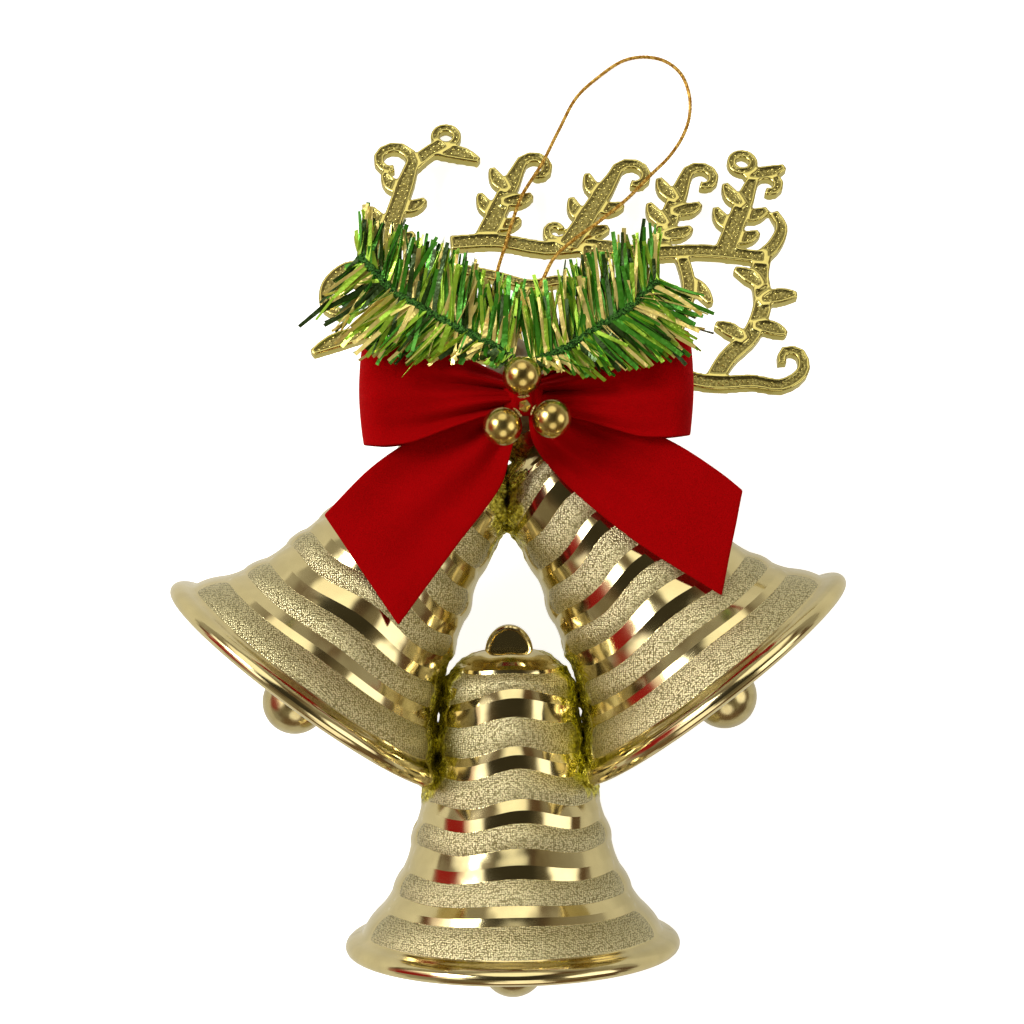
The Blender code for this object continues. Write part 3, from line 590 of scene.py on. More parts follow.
# %% Cord
CORD_DIAMETER = 1.0 * MM
PLIES, PLY_PITCH = 3, 3.4 * MM
CORD_ROUTE = [
    (-1.1, 49.6, 40.6), (-2.2, 57, 35.2), (-2.0, 66.2, 29.6), (0.6, 75.2, 24.8), (2.1, 80.6, 21.9), (5.3, 89.8, 16.9),
    (11.2, 99.8, 11.4), (16.1, 110, 5.8), (21.9, 120.9, 1.6), (28.6, 127, 0.8), (35.4, 131.3, 0.8),
    (41.6, 132.4, 0.8), (47.7, 131.1, 0.8), (52.3, 127.3, 0.8), (54.6, 121.1, 1.2), (54.5, 114.9, 2.9),
    (52.3, 108.4, 6.0), (47.9, 101.7, 9.3), (42.1, 95.8, 12.5), (35.2, 88.6, 16.5), (26.1, 81, 20.8),
    (20, 76.5, 23.4), (14, 70.8, 26.6), (10.2, 63.4, 30.7), (7, 58.5, 33.4), (5.1, 52.2, 38.4), (4.0, 48.8, 41.6),
]


def ply_section(plies, radius, sides=12):
    """Flat closed curve with one lobe for each ply."""
    curve = bpy.data.curves.new("section", "CURVE")
    spline = curve.splines.new("POLY")
    spline.points.add(sides - 1)
    for i, point in enumerate(spline.points):
        angle = math.tau * i / sides
        reach = radius * (0.92 + 0.20 * abs(math.cos(plies * angle / 2)))
        point.co = (reach * math.cos(angle), reach * math.sin(angle), 0, 1)
    spline.use_cyclic_u = True
    return linked("section", curve)


def drawn_curve(name, points):
    """A curve through the points, and its spline."""
    curve = bpy.data.curves.new(name, "CURVE")
    curve.dimensions = "3D"
    curve.use_fill_caps = True
    spline = curve.splines.new("POLY")
    spline.points.add(len(points) - 1)
    for point, place in zip(spline.points, points):
        point.co = (*place, 1)
    return curve, spline


def as_mesh(name, curve):
    obj = only(linked(name, curve))
    bpy.ops.object.convert(target="MESH")
    return face_out(obj)


def length_of(points):
    return sum((b - a).length for a, b in zip(points, points[1:]))


def twisted(name, route, radius, plies, pitch, rings):
    """Plies twisted along a route, as a mesh, and the line that it follows."""
    points = smooth_through(route, rings)
    curve, spline = drawn_curve(name, points)
    curve.twist_mode = "MINIMUM"
    turns = length_of(points) / pitch
    for i, point in enumerate(spline.points):
        point.tilt = math.tau * turns * i / (rings - 1)
    section = ply_section(plies, radius)
    curve.bevel_mode = "OBJECT"
    curve.bevel_object = section
    obj = as_mesh(name, curve)
    bpy.data.objects.remove(section)
    return shade(obj, 50), points


def laid_out(points):
    """Laid-out millimetres to places in the frame."""
    return [Vector(p) * MM + SHIFT for p in points]


cord, cord_line = twisted("gold_cord", laid_out(CORD_ROUTE), CORD_DIAMETER / 2, PLIES, PLY_PITCH, rings=560)
cord_length = length_of(cord_line)
set_up(cord, "gold_thread", "hanging_cord")
print("cord, m:", round(cord_length, 4))

# %% [markdown]
# The two ends are tied in an overhand knot. A knot this small reads as two crossing turns, so a short trefoil of the
# same thread, sized to the frame's knot, stands for it.

# %% Cord knot
def knot_route(centre, radius):
    turns = []
    for t in np.linspace(0, math.tau, 49):
        flat = Vector((math.sin(t) + 2 * math.sin(2 * t), math.cos(t) - 2 * math.cos(2 * t), -1.6 * math.sin(3 * t)))
        turns.append(centre + flat * radius / 3.2)
    return turns


knot_turns = knot_route(middle("cord_knot"), size_of("cord_knot").x / 2 - CORD_DIAMETER / 2)
cord_knot, _ = twisted("thread_knot", knot_turns, CORD_DIAMETER / 2, PLIES, PLY_PITCH, rings=150)
set_up(cord_knot, "gold_thread", "cord_knot")
tuple(cord_line[0])
[tuple(p) for p in cord_line[::4] + [cord_line[-1]]]

# %% [markdown]
# A bell is blow-moulded in a front and a back half, and every band of its pattern is a wave that rises over the
# middle of the half. The wall is drawn once as an outline, spun through half a turn, and its points are then moved
# by the wave and by the relief of the band they lie in. Textured bands bulge; smooth bands have two facets that meet
# in a crest, which is why one facet is dark and the other bright.

# %% Bell: outline and bands
PIN_ABOVE_RIM = 68.0
CROWN = 80.2  # height of the crown above the rim plane
WALL = 1.2
SEAM = 0.05  # half the width of the parting line
# Outline from the crown down: height above the rim plane and radius, mm.
OUTLINE = [
    (CROWN, 0.01), (80.15, 6.7), (79.4, 9.6), (78.2, 11.9), (76.4, 13.9), (74.4, 15.6), (71.8, 17.0), (68.9, 17.8),
    (63.5, 18.6), (56.7, 19.3), (51.3, 20.4), (47.3, 21.6), (43.2, 23.0), (37.0, 24.8), (30.2, 26.6), (23.8, 28.6),
    (17.3, 31.6), (12.4, 34.8), (7.8, 38.3), (5.0, 40.6),
]
ROLL = [
    (5.0, 40.6), (4.6, 41.5), (3.9, 43.3), (2.8, 44.6), (1.5, 45.0), (0.3, 44.6), (-0.4, 43.5), (-0.5, 42.4),
    (0.1, 41.5),
]
# Bands from the crown down: kind, upper and lower border, share of the band above its crest.
BANDS = [
    ("rib", 76.8, 74.9, 0.5), ("dots", 74.9, 71.0, 0.5), ("plain", 71.0, 63.5, 0.32), ("dots", 63.5, 55.7, 0.5),
    ("plain", 55.7, 49.8, 0.38), ("dots", 49.8, 42.3, 0.5), ("plain", 42.3, 36.2, 0.46), ("dots", 36.2, 30.2, 0.5),
    ("plain", 30.2, 22.9, 0.54), ("dots", 22.9, 17.0, 0.5), ("plain", 17.0, 12.4, 0.55), ("dots", 12.4, 5.4, 0.5),
]
# Size of the wave at a height, and how lively its ripple is there.
WAVE = [
    (5.2, 0.0), (12.4, 0.4), (17.0, 0.7), (23.0, 0.9), (30.2, 1.2), (36.2, 1.4), (42.3, 2.0), (49.8, 2.7),
    (55.7, 3.0), (63.5, 2.8), (71.0, 4.2), (75.0, 0.0),
]
RIPPLE = [(5, 0), (9, 0.12), (17, 0.35), (26, 0.75), (36, 1.0), (50, 0.95), (62, 0.6), (74, 0.2)]
DOTS_END = math.radians(70)  # textured bands stop here, measured round the bell from the middle of the half
CREST, BULGE = 0.60, 0.90  # relief of a smooth band's crest and of a textured band


def flat_smooth(points, count):
    """Evenly spaced (first, second) pairs on a smooth curve through flat points."""
    return np.array([p[:2] for p in smooth_through([(a, b, 0) for a, b in points], count)])


smooth_outline = flat_smooth(OUTLINE, 400)


def radius_at(height):
    """Radius of the bell's skin, without its bands."""
    return np.interp(height, smooth_outline[::-1, 0], smooth_outline[::-1, 1])


def wave(height, turn):
    """How far a band border is pushed towards the crown, from its height in the middle of the half."""
    size, lively = (np.interp(height, *zip(*table)) for table in (WAVE, RIPPLE))
    ripple = lively * np.cos(5.2 * turn - 0.35 + 0.3 * np.sin(height / 9.0))
    return -0.667 * size * (1 - np.cos(2 * (turn - math.radians(8)))) + ripple


def bell_rows():
    """Heights in the middle of the half at which the outline gets a point."""
    rows = [CROWN, 80.19, 80.15, 79.9, 79.5, 79.0, 78.4, 77.7]
    for kind, top, low, crest in BANDS:
        edge = top - (top - low) * crest
        count = 5 if kind == "dots" else 4
        for start, end in ((top, edge), (edge, low)):
            rows += list(np.linspace(start, end, count, endpoint=False))
    return rows + [5.4, 5.1]


def band_relief(height, turn):
    """Relief of the skin, and signed distance into a textured band, in mm."""
    radius = radius_at(height)
    to_end = (DOTS_END - np.abs(turn)) * radius
    relief = np.zeros_like(height)
    into_dots = np.full_like(height, -9.0)
    for kind, top, low, crest in BANDS:
        t = (top - height) / (top - low)
        here = (t > 0) & (t < 1)
        soft = (0.65 if kind == "dots" else -0.15) * np.sin(math.pi * np.clip(t, 0, 1))
        if kind == "dots":
            half = (top - low) / 2
            corner = 0.8 * half
            side = np.maximum(corner - to_end, 0)
            off = np.maximum(np.abs(height - (top + low) / 2) - (half - corner), 0)
            depth = corner - np.hypot(side, off)
            into_dots = np.maximum(into_dots, depth)
            bulge = BULGE * np.sin(math.pi / 2 * np.clip(depth / half, 0, 1))
            relief += np.where(here, np.maximum(bulge, soft * (1 - smoothly(to_end, -1, 2))), 0)
        else:
            ridge = np.where(t < crest, t / crest, (1 - t) / (1 - crest))
            open_here = smoothly(to_end, -1.2, 0.6) if kind == "plain" else smoothly(to_end, -4, 0)
            relief += np.where(here, CREST * ridge * open_here + soft * (1 - open_here), 0)
    return relief, into_dots


# %% [markdown]
# The spin gives closed rings, so the cut faces on the parting plane only need filling. The loop on the crown is a
# second body with a sunk web, and each half has a boss inside, for the pin that the clapper swings on.

# %% Bell: one half
STEPS = 80


def outline_points():
    """The section of the wall: down the outside, round the rim's roll and up the inside."""
    outer = [(radius_at(h), h) for h in bell_rows()]
    outer[0] = (0.0, CROWN)
    roll = [(r, h) for h, r in flat_smooth(ROLL, 26)][1:]
    inner_heights = np.linspace(1.8, 77.5, 26)
    inner = [(radius_at(max(h, 3.0)) - WALL * (1.15 if h > 70 else 1.02), h) for h in inner_heights]
    inner[0] = (40.9, 1.0)
    return [(r * MM, h * MM, 0.0) for r, h in outer + roll + inner + [(8.0, 78.9), (0.0, 79.0)]]


def wave_and_relief(obj):
    """Moves the outside of a half shell from its plain outline to its bands."""
    co = points_of(obj) / MM
    radius = np.hypot(co[:, 0], co[:, 2])
    turn = np.pi / 2 - np.arctan2(co[:, 2], co[:, 0])
    outside = (radius > radius_at(co[:, 1]) - 0.5 * WALL) & (co[:, 1] > 5.0) & (radius > 0.5)
    height = co[:, 1] + wave(co[:, 1], turn)
    new_radius = radius_at(height) + (radius - radius_at(co[:, 1])) + band_relief(co[:, 1], turn)[0]
    blend = smoothly(co[:, 1], 5.0, 6.0)
    height = np.where(outside, co[:, 1] + (height - co[:, 1]) * blend, co[:, 1])
    new_radius = np.where(outside & (co[:, 1] < 77.5), new_radius, radius)
    scale = new_radius / np.maximum(radius, 1e-6)
    co[:, 0] *= scale
    co[:, 2] = np.maximum(co[:, 2] * scale, SEAM)
    co[:, 1] = height
    move_points(obj, co * MM)


def crown_loop():
    """D-shaped loop with a raised border and a sunk web, in its own half only."""
    arc = [(6.5 * math.cos(a), 79.6 + 7.5 * math.sin(a), 0.0) for a in np.linspace(0, math.pi, 33)]
    loop = line_of("crown_loop", [tuple(v * MM for v in p) for p in [(6.5, 78.4, 0.0), *arc, (-6.5, 78.4, 0.0)]])
    with editing(loop):
        bpy.ops.mesh.edge_face_add()
        raised(2.0)
        choose(loop, "faces", lambda f: f.calc_center_median().z > 1.9 * MM)
        for inwards, upwards in [(0.25, 0.45), (0.4, 0.22), (0.4, -0.15), (0.3, -0.45), (0.15, -1.0)]:
            bpy.ops.mesh.inset(thickness=inwards * MM)
            bpy.ops.transform.translate(value=(0, 0, upwards * MM))
        bpy.ops.mesh.select_all(action="SELECT")
        bpy.ops.transform.translate(value=(0, 0, SEAM * MM))
    return face_out(loop)


def pin_boss():
    """Tube inside the shell that the pin's end sits in."""
    wall = float(radius_at(PIN_ABOVE_RIM)) - WALL
    boss = added(
        "boss", bpy.ops.mesh.primitive_cylinder_add, vertices=32, radius=2.3 * MM, depth=4.6 * MM,
        location=(0, PIN_ABOVE_RIM * MM, (wall - 1.7) * MM),
    )
    with editing(boss):
        choose(boss, "faces", lambda f: f.normal.z < -0.9)
        bpy.ops.mesh.inset(thickness=1.2 * MM)
        raised(3.4)
    return face_out(boss)


def half_shell():
    shell = line_of("half_shell", outline_points())
    with editing(shell):
        bpy.ops.mesh.spin(steps=STEPS, angle=math.pi, center=(0, 0, 0), axis=(0, 1, 0))
        bpy.ops.mesh.select_all(action="SELECT")
        bpy.ops.mesh.remove_doubles(threshold=1e-6)
        choose(shell, "edges", lambda e: e.is_boundary)
        bpy.ops.mesh.edge_face_add()
    wave_and_relief(face_out(shell))
    fittings = join(crown_loop(), pin_boss())
    modified(shell, "BOOLEAN", operation="UNION", solver="EXACT", object=fittings)
    bpy.data.objects.remove(fittings)
    return shell


front_half = half_shell()
print("half shell:", len(front_half.data.polygons), "faces, box", shown(front_half.dimensions))

# %% [markdown]
# The three bells are the same moulding, so the finished half is copied and mirrored. The frame gives each bell's
# axis: from its clapper's pin to its ball. The two upper bells are then trimmed where the frame trims them, by the
# mirror plane between them and by the lower bell, and the skin near those joints is puckered as fused plastic is.

# %% Bells in place
BALL_BELOW_RIM = 4.5


def bell_matrix(bell):
    """Place of a bell: local +Y runs from its mouth to its crown."""
    pin = middle(f"clapper_pin_{bell}")
    up = (pin - middle(f"clapper_ball_{bell}")).normalized()
    mouth = pin - up * PIN_ABOVE_RIM * MM
    turn = math.atan2(-up.x, up.y)
    return Matrix.Translation(mouth) @ Matrix.Rotation(turn, 4, "Z")


BELLS = {bell: bell_matrix(bell) for bell in ("left", "right", "lower")}


def seen_from(bell, points):
    """Points in a bell's own millimetres: height, distance from the axis, and turn from the middle of the half."""
    inverse = np.array(BELLS[bell].inverted())
    x, height, z = ((points @ inverse[:3, :3].T + inverse[:3, 3]) / MM).T
    return height, np.hypot(x, z), np.pi / 2 - np.arctan2(np.abs(z), x)


def outside_of(points, bell):
    """How far points lie outside a bell's skin, in mm; 0 inside."""
    height, radius, _ = seen_from(bell, points)
    beyond = np.maximum(height - CROWN, 0) + np.maximum(-2.7 - height, 0)
    return np.maximum(radius - radius_at(np.clip(height, 2.0, 80.0)), 0) + beyond


def nearness(points, bell):
    """1 on the joint with another bell, 0 at 5 mm from it."""
    if bell == "lower":
        gap = np.minimum(outside_of(points, "left"), outside_of(points, "right"))
        reach = 6.4
    else:
        gap = np.minimum(outside_of(points, "lower"), np.abs(points[:, 0]) / MM * 1.5)
        reach = 7.4
    uneven = np.array([noise.noise(Vector(p) / (3.5 * MM)) for p in points])
    return np.clip(1 - gap / (reach * (1 + 0.6 * uneven)), 0, 1)


def pucker(obj, bell):
    """Crumples the skin at the joints, and stores where it did."""
    points = points_of(obj)
    near = nearness(points, bell)
    lumps = np.zeros(len(points))
    for i in np.flatnonzero(near > 0):
        place = Vector(points[i])
        lumps[i] = 1.3 * noise.noise(place / (2.6 * MM)) + 0.5 * noise.noise(place / (0.9 * MM))
    out_by = (lumps * 1.05 + 0.30) * near * MM
    move_points(obj, points + points_of(obj, "normal") * out_by[:, None])
    mark(obj, "pucker", near)


def mark_dots(obj, bell):
    """Stores how far each point lies inside a textured band, in mm."""
    height, radius, turn = seen_from(bell, points_of(obj))
    before_wave = height
    for _ in range(12):
        before_wave = height - wave(before_wave, turn)
    before_wave = np.where(height > 6.0, before_wave, height)
    depth = band_relief(before_wave, turn)[1]
    on_skin = (radius > radius_at(np.clip(height, 5.0, 80.0)) - 0.7 * WALL) & (radius > 8)
    mark(obj, "stipple", np.where(on_skin, np.clip(depth, -1, 1), -1))


def lower_room():
    """Solid of the lower bell's outline, to trim the upper bells with."""
    skin = [(0.0, CROWN)] + [(radius_at(h) + 0.1, h) for h in np.linspace(80, 5, 50)]
    skin += [(r + 0.1, h) for h, r in flat_smooth(ROLL[:-1], 12)[1:]] + [(0.0, -0.4)]
    room = line_of("room", [(r * MM, h * MM, 0.0) for r, h in skin])
    with editing(room):
        bpy.ops.mesh.spin(steps=72, angle=math.tau, center=(0, 0, 0), axis=(0, 1, 0))
    return placed(face_out(room), BELLS["lower"])


def bell_half(bell, half, room):
    shell = copied(front_half, f"bell_skin_{bell}_{half}")
    if half == "back":
        shell.data.transform(Matrix.Diagonal((1, 1, -1, 1)))
        shell.data.flip_normals()
    placed(shell, BELLS[bell])
    if bell != "lower":
        with editing(shell):
            hand = 1 if bell == "right" else -1
            bpy.ops.mesh.bisect(
                plane_co=(hand * SEAM * MM, 0, 0), plane_no=(hand, 0, 0), use_fill=True, clear_inner=True
            )
        modified(shell, "BOOLEAN", operation="DIFFERENCE", solver="EXACT", object=room)
    mark_dots(shell, bell)
    pucker(shell, bell)
    set_up(shade(shell, 11), "gold_plastic", f"bell_{bell}_{half}")


trimmer = lower_room()
for bell in BELLS:
    for half in ("front", "back"):
        bell_half(bell, half, trimmer)
for helper in (trimmer, front_half):
    bpy.data.objects.remove(helper)

# %% [markdown]
# Each clapper is a gold ball on a wire that hooks over the pin. The ball is moulded in two halves too, so it keeps a
# faint seam, and a small collar where the wire was pushed in.

# %% Clappers
BALL_RADIUS = size_of("clapper_ball_lower").z / 2


def clapper_ball(bell):
    ball = added("ball", bpy.ops.mesh.primitive_uv_sphere_add, segments=64, ring_count=40, radius=BALL_RADIUS)
    with editing(ball):
        choose(ball, "verts", lambda v: abs(v.co.z) < 0.02 * MM)
        bpy.ops.transform.resize(value=(1.012, 1.012, 1))
        choose(ball, "faces", lambda f: f.calc_center_median().z > 0.985 * BALL_RADIUS)
        raised(0.5)
        bpy.ops.mesh.inset(thickness=0.4 * MM)
        raised(-1.4)
    centre = middle(f"clapper_ball_{bell}")
    placed(face_out(ball), pointing(centre, middle(f"clapper_pin_{bell}") - centre))
    ball.name = f"ball_{bell}"
    return shade(ball, 30)


def wire(name, route, radius, rings):
    """Round wire along a smooth route, as a mesh."""
    curve, _ = drawn_curve(name, smooth_through(route, rings))
    curve.bevel_depth = radius
    curve.bevel_resolution = 3
    return shade(as_mesh(name, curve), 40)


def clapper_wire(bell):
    eye, wire_radius = 1.8, 0.7
    hook = [(eye * math.cos(math.radians(a)), eye * math.sin(math.radians(a)), 0.0) for a in range(-60, 181, 30)]
    low = -(PIN_ABOVE_RIM + BALL_BELOW_RIM) + BALL_RADIUS / MM - 2.0
    route = [*hook, (-eye, -eye, 0), (-0.7, -2.2 * eye, 0), (0, -3.3 * eye, 0), (0, -20, 0), (0, -40, 0), (0, low, 0)]
    lay = BELLS[bell] @ Matrix.Translation((0, PIN_ABOVE_RIM * MM, 0))
    return wire(f"wire_{bell}", [lay @ (Vector(p) * MM) for p in route], wire_radius * MM, 90)


def clapper_pin(bell):
    node = f"clapper_pin_{bell}"
    pin = added(
        f"pin_{bell}", bpy.ops.mesh.primitive_cylinder_add, vertices=28, radius=size_of(node).x / 2,
        depth=size_of(node).z, location=middle(node),
    )
    with editing(pin):
        choose(pin, "edges", lambda e: abs(sum(f.normal.z for f in e.link_faces)) > 0.9 and
               abs(e.verts[0].co.z - e.verts[1].co.z) < 0.01 * MM)
        bpy.ops.mesh.bevel(offset=0.25 * MM, segments=3, affect="EDGES")
    return shade(pin, 40)


for bell in BELLS:
    body = f"clapper_{bell}"
    set_up(clapper_ball(bell), "clapper_gold", f"clapper_ball_{bell}", body=body)
    set_up(clapper_wire(bell), "steel_wire", f"clapper_wire_{bell}", body=body)
    set_up(clapper_pin(bell), "steel_wire", f"clapper_pin_{bell}")

# %% [markdown]
# The sign is a moulded fretwork: bright raised edges round sunk faces that carry small pebbles. It is worked flat, on
# a copy of the frame's sign: remeshed finely, then lowered wherever a point is further than the edge's width from
# the nearest wall.

# %% Sign
SIGN_LAY = Matrix.Translation(SHIFT + Vector((0, 46.1, 34.46)) * MM) @ (
    Matrix.Rotation(math.radians(-3.75), 4, "Z") @ Matrix.Rotation(math.radians(-28), 4, "X")
)
EDGE_WIDTH, SUNK_DEPTH = 0.80, 0.60
PEBBLE_PITCH = 1.5 * MM


def worked_copy(node, name, lay=Matrix.Identity(4)):
    """A merged copy of one of the frame's parts, in the given place's own coordinates."""
    source = bpy.data.objects[node]
    twin = copied(source, name)
    twin.data.transform(lay.inverted() @ source.matrix_world)
    twin.parent = None
    return face_out(twin)


def wall_tree(obj):
    """The faces that stand on edge, for distances to the outline."""
    walls = [list(p.vertices) for p in obj.data.polygons if abs(p.normal.z) < 0.5]
    return BVHTree.FromPolygons([v.co for v in obj.data.vertices], walls)


def pebbles(spots, depth):
    """One low dome for each spot, all in one mesh."""
    dome = added("pebble", bpy.ops.mesh.primitive_ico_sphere_add, subdivisions=2, radius=0.42 * MM)
    with editing(dome):
        bpy.ops.mesh.bisect(plane_co=(0, 0, -0.08 * MM), plane_no=(0, 0, 1), clear_inner=True, use_fill=True)
    shape = points_of(dome) * (1, 1, 0.75)
    faces = [list(p.vertices) for p in dome.data.polygons]
    bpy.data.objects.remove(dome)
    domes = []
    for x, y, z in spots:
        turn, size = rng.uniform(0, math.tau), rng.uniform(0.8, 1.1)
        spin = np.array([[math.cos(turn), -math.sin(turn), 0], [math.sin(turn), math.cos(turn), 0], [0, 0, 1]])
        domes.append(shape @ spin.T * size + (x, y, z - depth))
    return many("pebbles", domes, faces)


def moulded_sign():
    sign = worked_copy("scroll_sign", "sign", SIGN_LAY)
    walls = wall_tree(sign)
    top = max(v.co.z for v in sign.data.vertices)
    modified(sign, "REMESH", mode="VOXEL", voxel_size=0.38 * MM)
    modified(sign, "SMOOTH", factor=0.5, iterations=3)
    points = points_of(sign)
    front = points[:, 2] > top - 0.35 * MM
    distance = np.zeros(len(points))
    for i in np.flatnonzero(front):
        distance[i] = walls.find_nearest(Vector(points[i]))[3] / MM
    sunk = smoothly(distance, EDGE_WIDTH - 0.15, EDGE_WIDTH + 0.35)
    points[:, 2] -= sunk * SUNK_DEPTH * MM
    move_points(sign, points)
    modified(sign, "SMOOTH", factor=0.4, iterations=1)
    points = points_of(sign)
    mark(sign, "sunk", sunk)
    spots, taken = [], {}
    for i in rng.permutation(np.flatnonzero(distance > EDGE_WIDTH + 0.35)):
        cell = tuple((points[i, :2] // PEBBLE_PITCH).astype(int))
        near = [taken.get((cell[0] + a, cell[1] + b)) for a in (-1, 0, 1) for b in (-1, 0, 1)]
        if all(n is None or np.hypot(*(n - points[i, :2])) > 0.86 * PEBBLE_PITCH for n in near):
            taken[cell] = points[i, :2]
            spots.append(points[i])
    stones = pebbles(spots, 0.05 * MM)
    mark(stones, "sunk", np.zeros(len(stones.data.vertices)))
    print("sign:", len(sign.data.polygons), "faces,", len(spots), "pebbles")
    for piece, degrees in ((sign, 75), (stones, 60)):
        set_up(shade(placed(piece, SIGN_LAY), degrees), "sign_gold", "scroll_sign")


moulded_sign()

# %% [markdown]
# The bow is one velvet ribbon: two loops and two tails pinched by a knot. A loop is a grid that runs out along its
# back layer, round a soft bend and back along its front layer, and it narrows to the knot in pleats that radiate
# from it. The tails are cut straight across and lie nearly flat.

# %% Bow
RIBBON = 0.7 * MM
# Loops from the knot outwards: x, lower edge, upper edge, share of the full thickness.
LOOPS = {
    "left": [
        (1.6, 26.4, 34.0, 0.30), (-10, 22.6, 40.5, 0.62), (-24.5, 18.4, 45.5, 0.92), (-31.5, 17.6, 44.8, 1.0),
        (-36.4, 17.6, 43.6, 1.0),
    ],
    "right": [
        (8.0, 26.2, 34.4, 0.30), (22, 22.4, 41.5, 0.62), (34, 19.4, 46.6, 0.92), (42.2, 18.9, 46.6, 1.0),
        (47.2, 19.0, 46.0, 1.0),
    ],
}
# The two long edges of each tail, from the knot outwards.
TAILS = {
    "left": ([(1.0, 29.5), (-10, 25.4), (-24.0, 19.2), (-34.6, 12.2), (-47, -0.1)],
             [(4.0, 26.5), (0.6, 13), (-1.4, 6.9), (-13.8, -9.5), (-28.2, -28.7)]),
    "right": ([(8.0, 29.4), (22, 24.8), (40.4, 18.9), (54.6, 9.8), (60.6, 4.8)],
              [(6.0, 26.0), (7.1, 18), (13.2, 9.3), (31.6, -7), (54.7, -22.2)]),
}
HALF_THICK = 5.2
TAIL_STEPS = 59
TAIL_START = BOW_Z / MM - 3.1  # height of a tail where it lies on nothing


def grid(name, rows, columns, place):
    """A grid whose points are put by place(u, v), both from 0 to 1."""
    obj = added(name, bpy.ops.mesh.primitive_grid_add, x_subdivisions=rows, y_subdivisions=columns, size=1)
    points = points_of(obj)
    move_points(obj, [place(x + 0.5, y + 0.5) for x, y, _ in points])
    return obj


def loop_place(side):
    """place(u, v) of a loop: u runs along the ribbon, v across it. Also its flat width and length."""
    stations = np.array(LOOPS[side])
    reach = abs(stations[-1, 0] - stations[0, 0]) - HALF_THICK
    hand = -1 if side == "left" else 1
    total = 2 * reach + math.pi * HALF_THICK
    phase = 0.6 if side == "left" else 2.1

    def place(u, v):
        run = u * total
        if run < reach:
            out, level = run, -1.0
        elif run < total - reach:
            angle = (run - reach) / HALF_THICK
            out, level = reach + HALF_THICK * math.sin(angle), -math.cos(angle)
        else:
            out, level = total - run, 1.0
        at = [abs(stations[0, 0] - s) for s in stations[:, 0]]
        low, high, share = (float(np.interp(out, at, stations[:, i])) for i in (1, 2, 3))
        near = 1 - min(out / (reach + HALF_THICK), 1)
        pleat = (0.25 + 1.9 * near ** 0.7) * math.sin(v * 15.0 + phase + 1.2 * level + 0.8 * near)
        pleat += 1.5 * near * math.sin(v * 27 + 2 * phase)
        soft = 0.9 * noise.noise(Vector((out / 13, v * 2.3 + level, hand * 3.1)))
        z = BOW_Z / MM + HALF_THICK * share * level + pleat * (0.7 if level > -0.5 else 0.5) + soft
        bulge = 0.7 * (1 - (2 * v - 1) ** 2) * (out / reach) ** 3
        x = stations[0, 0] + hand * (out + bulge)
        y = low + (high - low) * v + 0.5 * math.sin(out / 6 + 3 * v)
        return Vector((x, y, z)) * MM + SHIFT

    return place, max(high - low for _, low, high, _ in stations) + 1.0, total


def tail_place(side):
    """The same for a tail, which follows the top of the frame's tail."""
    first, second = (smooth_through([(x, y, 0) for x, y in edge], TAIL_STEPS + 1) for edge in TAILS[side])
    node = f"bow_tail_{side}"
    centre = middle(node)
    guide = worked_copy(node, "guide")
    top = BVHTree.FromObject(guide, bpy.context.evaluated_depsgraph_get())
    bpy.data.objects.remove(guide)
    phase, seed = (1.0, 7.7) if side == "left" else (2.4, 9.9)

    def place(u, v):
        i = min(int(u * TAIL_STEPS), TAIL_STEPS - 1)
        a, b = (edge[i].lerp(edge[i + 1], u * TAIL_STEPS - i) for edge in (first, second))
        spot = a.lerp(b, v) * MM + SHIFT
        inward = spot.lerp(centre, 0.12)
        hit = top.ray_cast(Vector((inward.x, inward.y, 0.2)), Vector((0, 0, -1)))[0]
        z = (hit.z / MM if hit else TAIL_START) - 0.6
        crease = (1.9 * (1 - u) ** 1.5 + 0.25) * math.sin(v * 13 + phase + u)
        crease += 0.8 * noise.noise(Vector((u * 3.0, v * 2.0, seed)))
        return Vector((spot.x, spot.y, (z + crease * 0.8) * MM))

    return place, (first[40] - second[40]).length, length_of(first)


for side in ("left", "right"):
    for kind, lay, rows in (("loop", loop_place, 84), ("tail", tail_place, 60)):
        place, width, length = lay(side)
        sheet = grid(f"velvet_{kind}_{side}", rows, 40, place)
        modified(sheet, "SOLIDIFY", thickness=RIBBON, offset=0.0)
        modified(sheet, "SUBSURF", levels=1)
        set_up(shade(face_out(sheet), 60), "red_velvet", f"bow_{kind}_{side}")
        width * MM
        length * MM
        print(sheet.name, "flat, mm:", round(width, 1), round(length, 1))


def bow_knot():
    """A squarish cushion with creases that run over it from loop to loop."""
    knot = added("velvet_knot", bpy.ops.mesh.primitive_uv_sphere_add, segments=72, ring_count=48, radius=1)
    points = points_of(knot)
    x, y, z = points.T
    crease = 1 + 0.05 * np.sin(x * 11 + 1.5 * y) * (1 - np.abs(y) ** 3) + 0.02 * np.sin(5 * np.arctan2(z, x))
    squared = np.sign(points) * np.abs(points) ** 0.72
    size, centre = (np.array(v) for v in (size_of("bow_knot") / 2, middle("bow_knot")))
    move_points(knot, squared * crease[:, None] * size + centre)
    return shade(face_out(knot), 80)


set_up(bow_knot(), "red_velvet", "bow_knot")

# %% [markdown]
# A sprig of three berries sits on the knot: glossy gold balls, each in a collar of coarse glitter, on a faceted hub.

# %% Berries
LACQUER = 1.03  # a berry is this much larger than the frame's ball


def lumpy(node, name, voxel, lump, amount):
    """A finely remeshed copy of one of the frame's parts, roughened."""
    obj = worked_copy(node, name)
    modified(obj, "REMESH", mode="VOXEL", voxel_size=voxel)
    points = points_of(obj)
    bumps = np.array([noise.noise(Vector(p) / lump) for p in points])
    move_points(obj, points + points_of(obj, "normal") * (bumps * amount)[:, None])
    return shade(obj, 180)


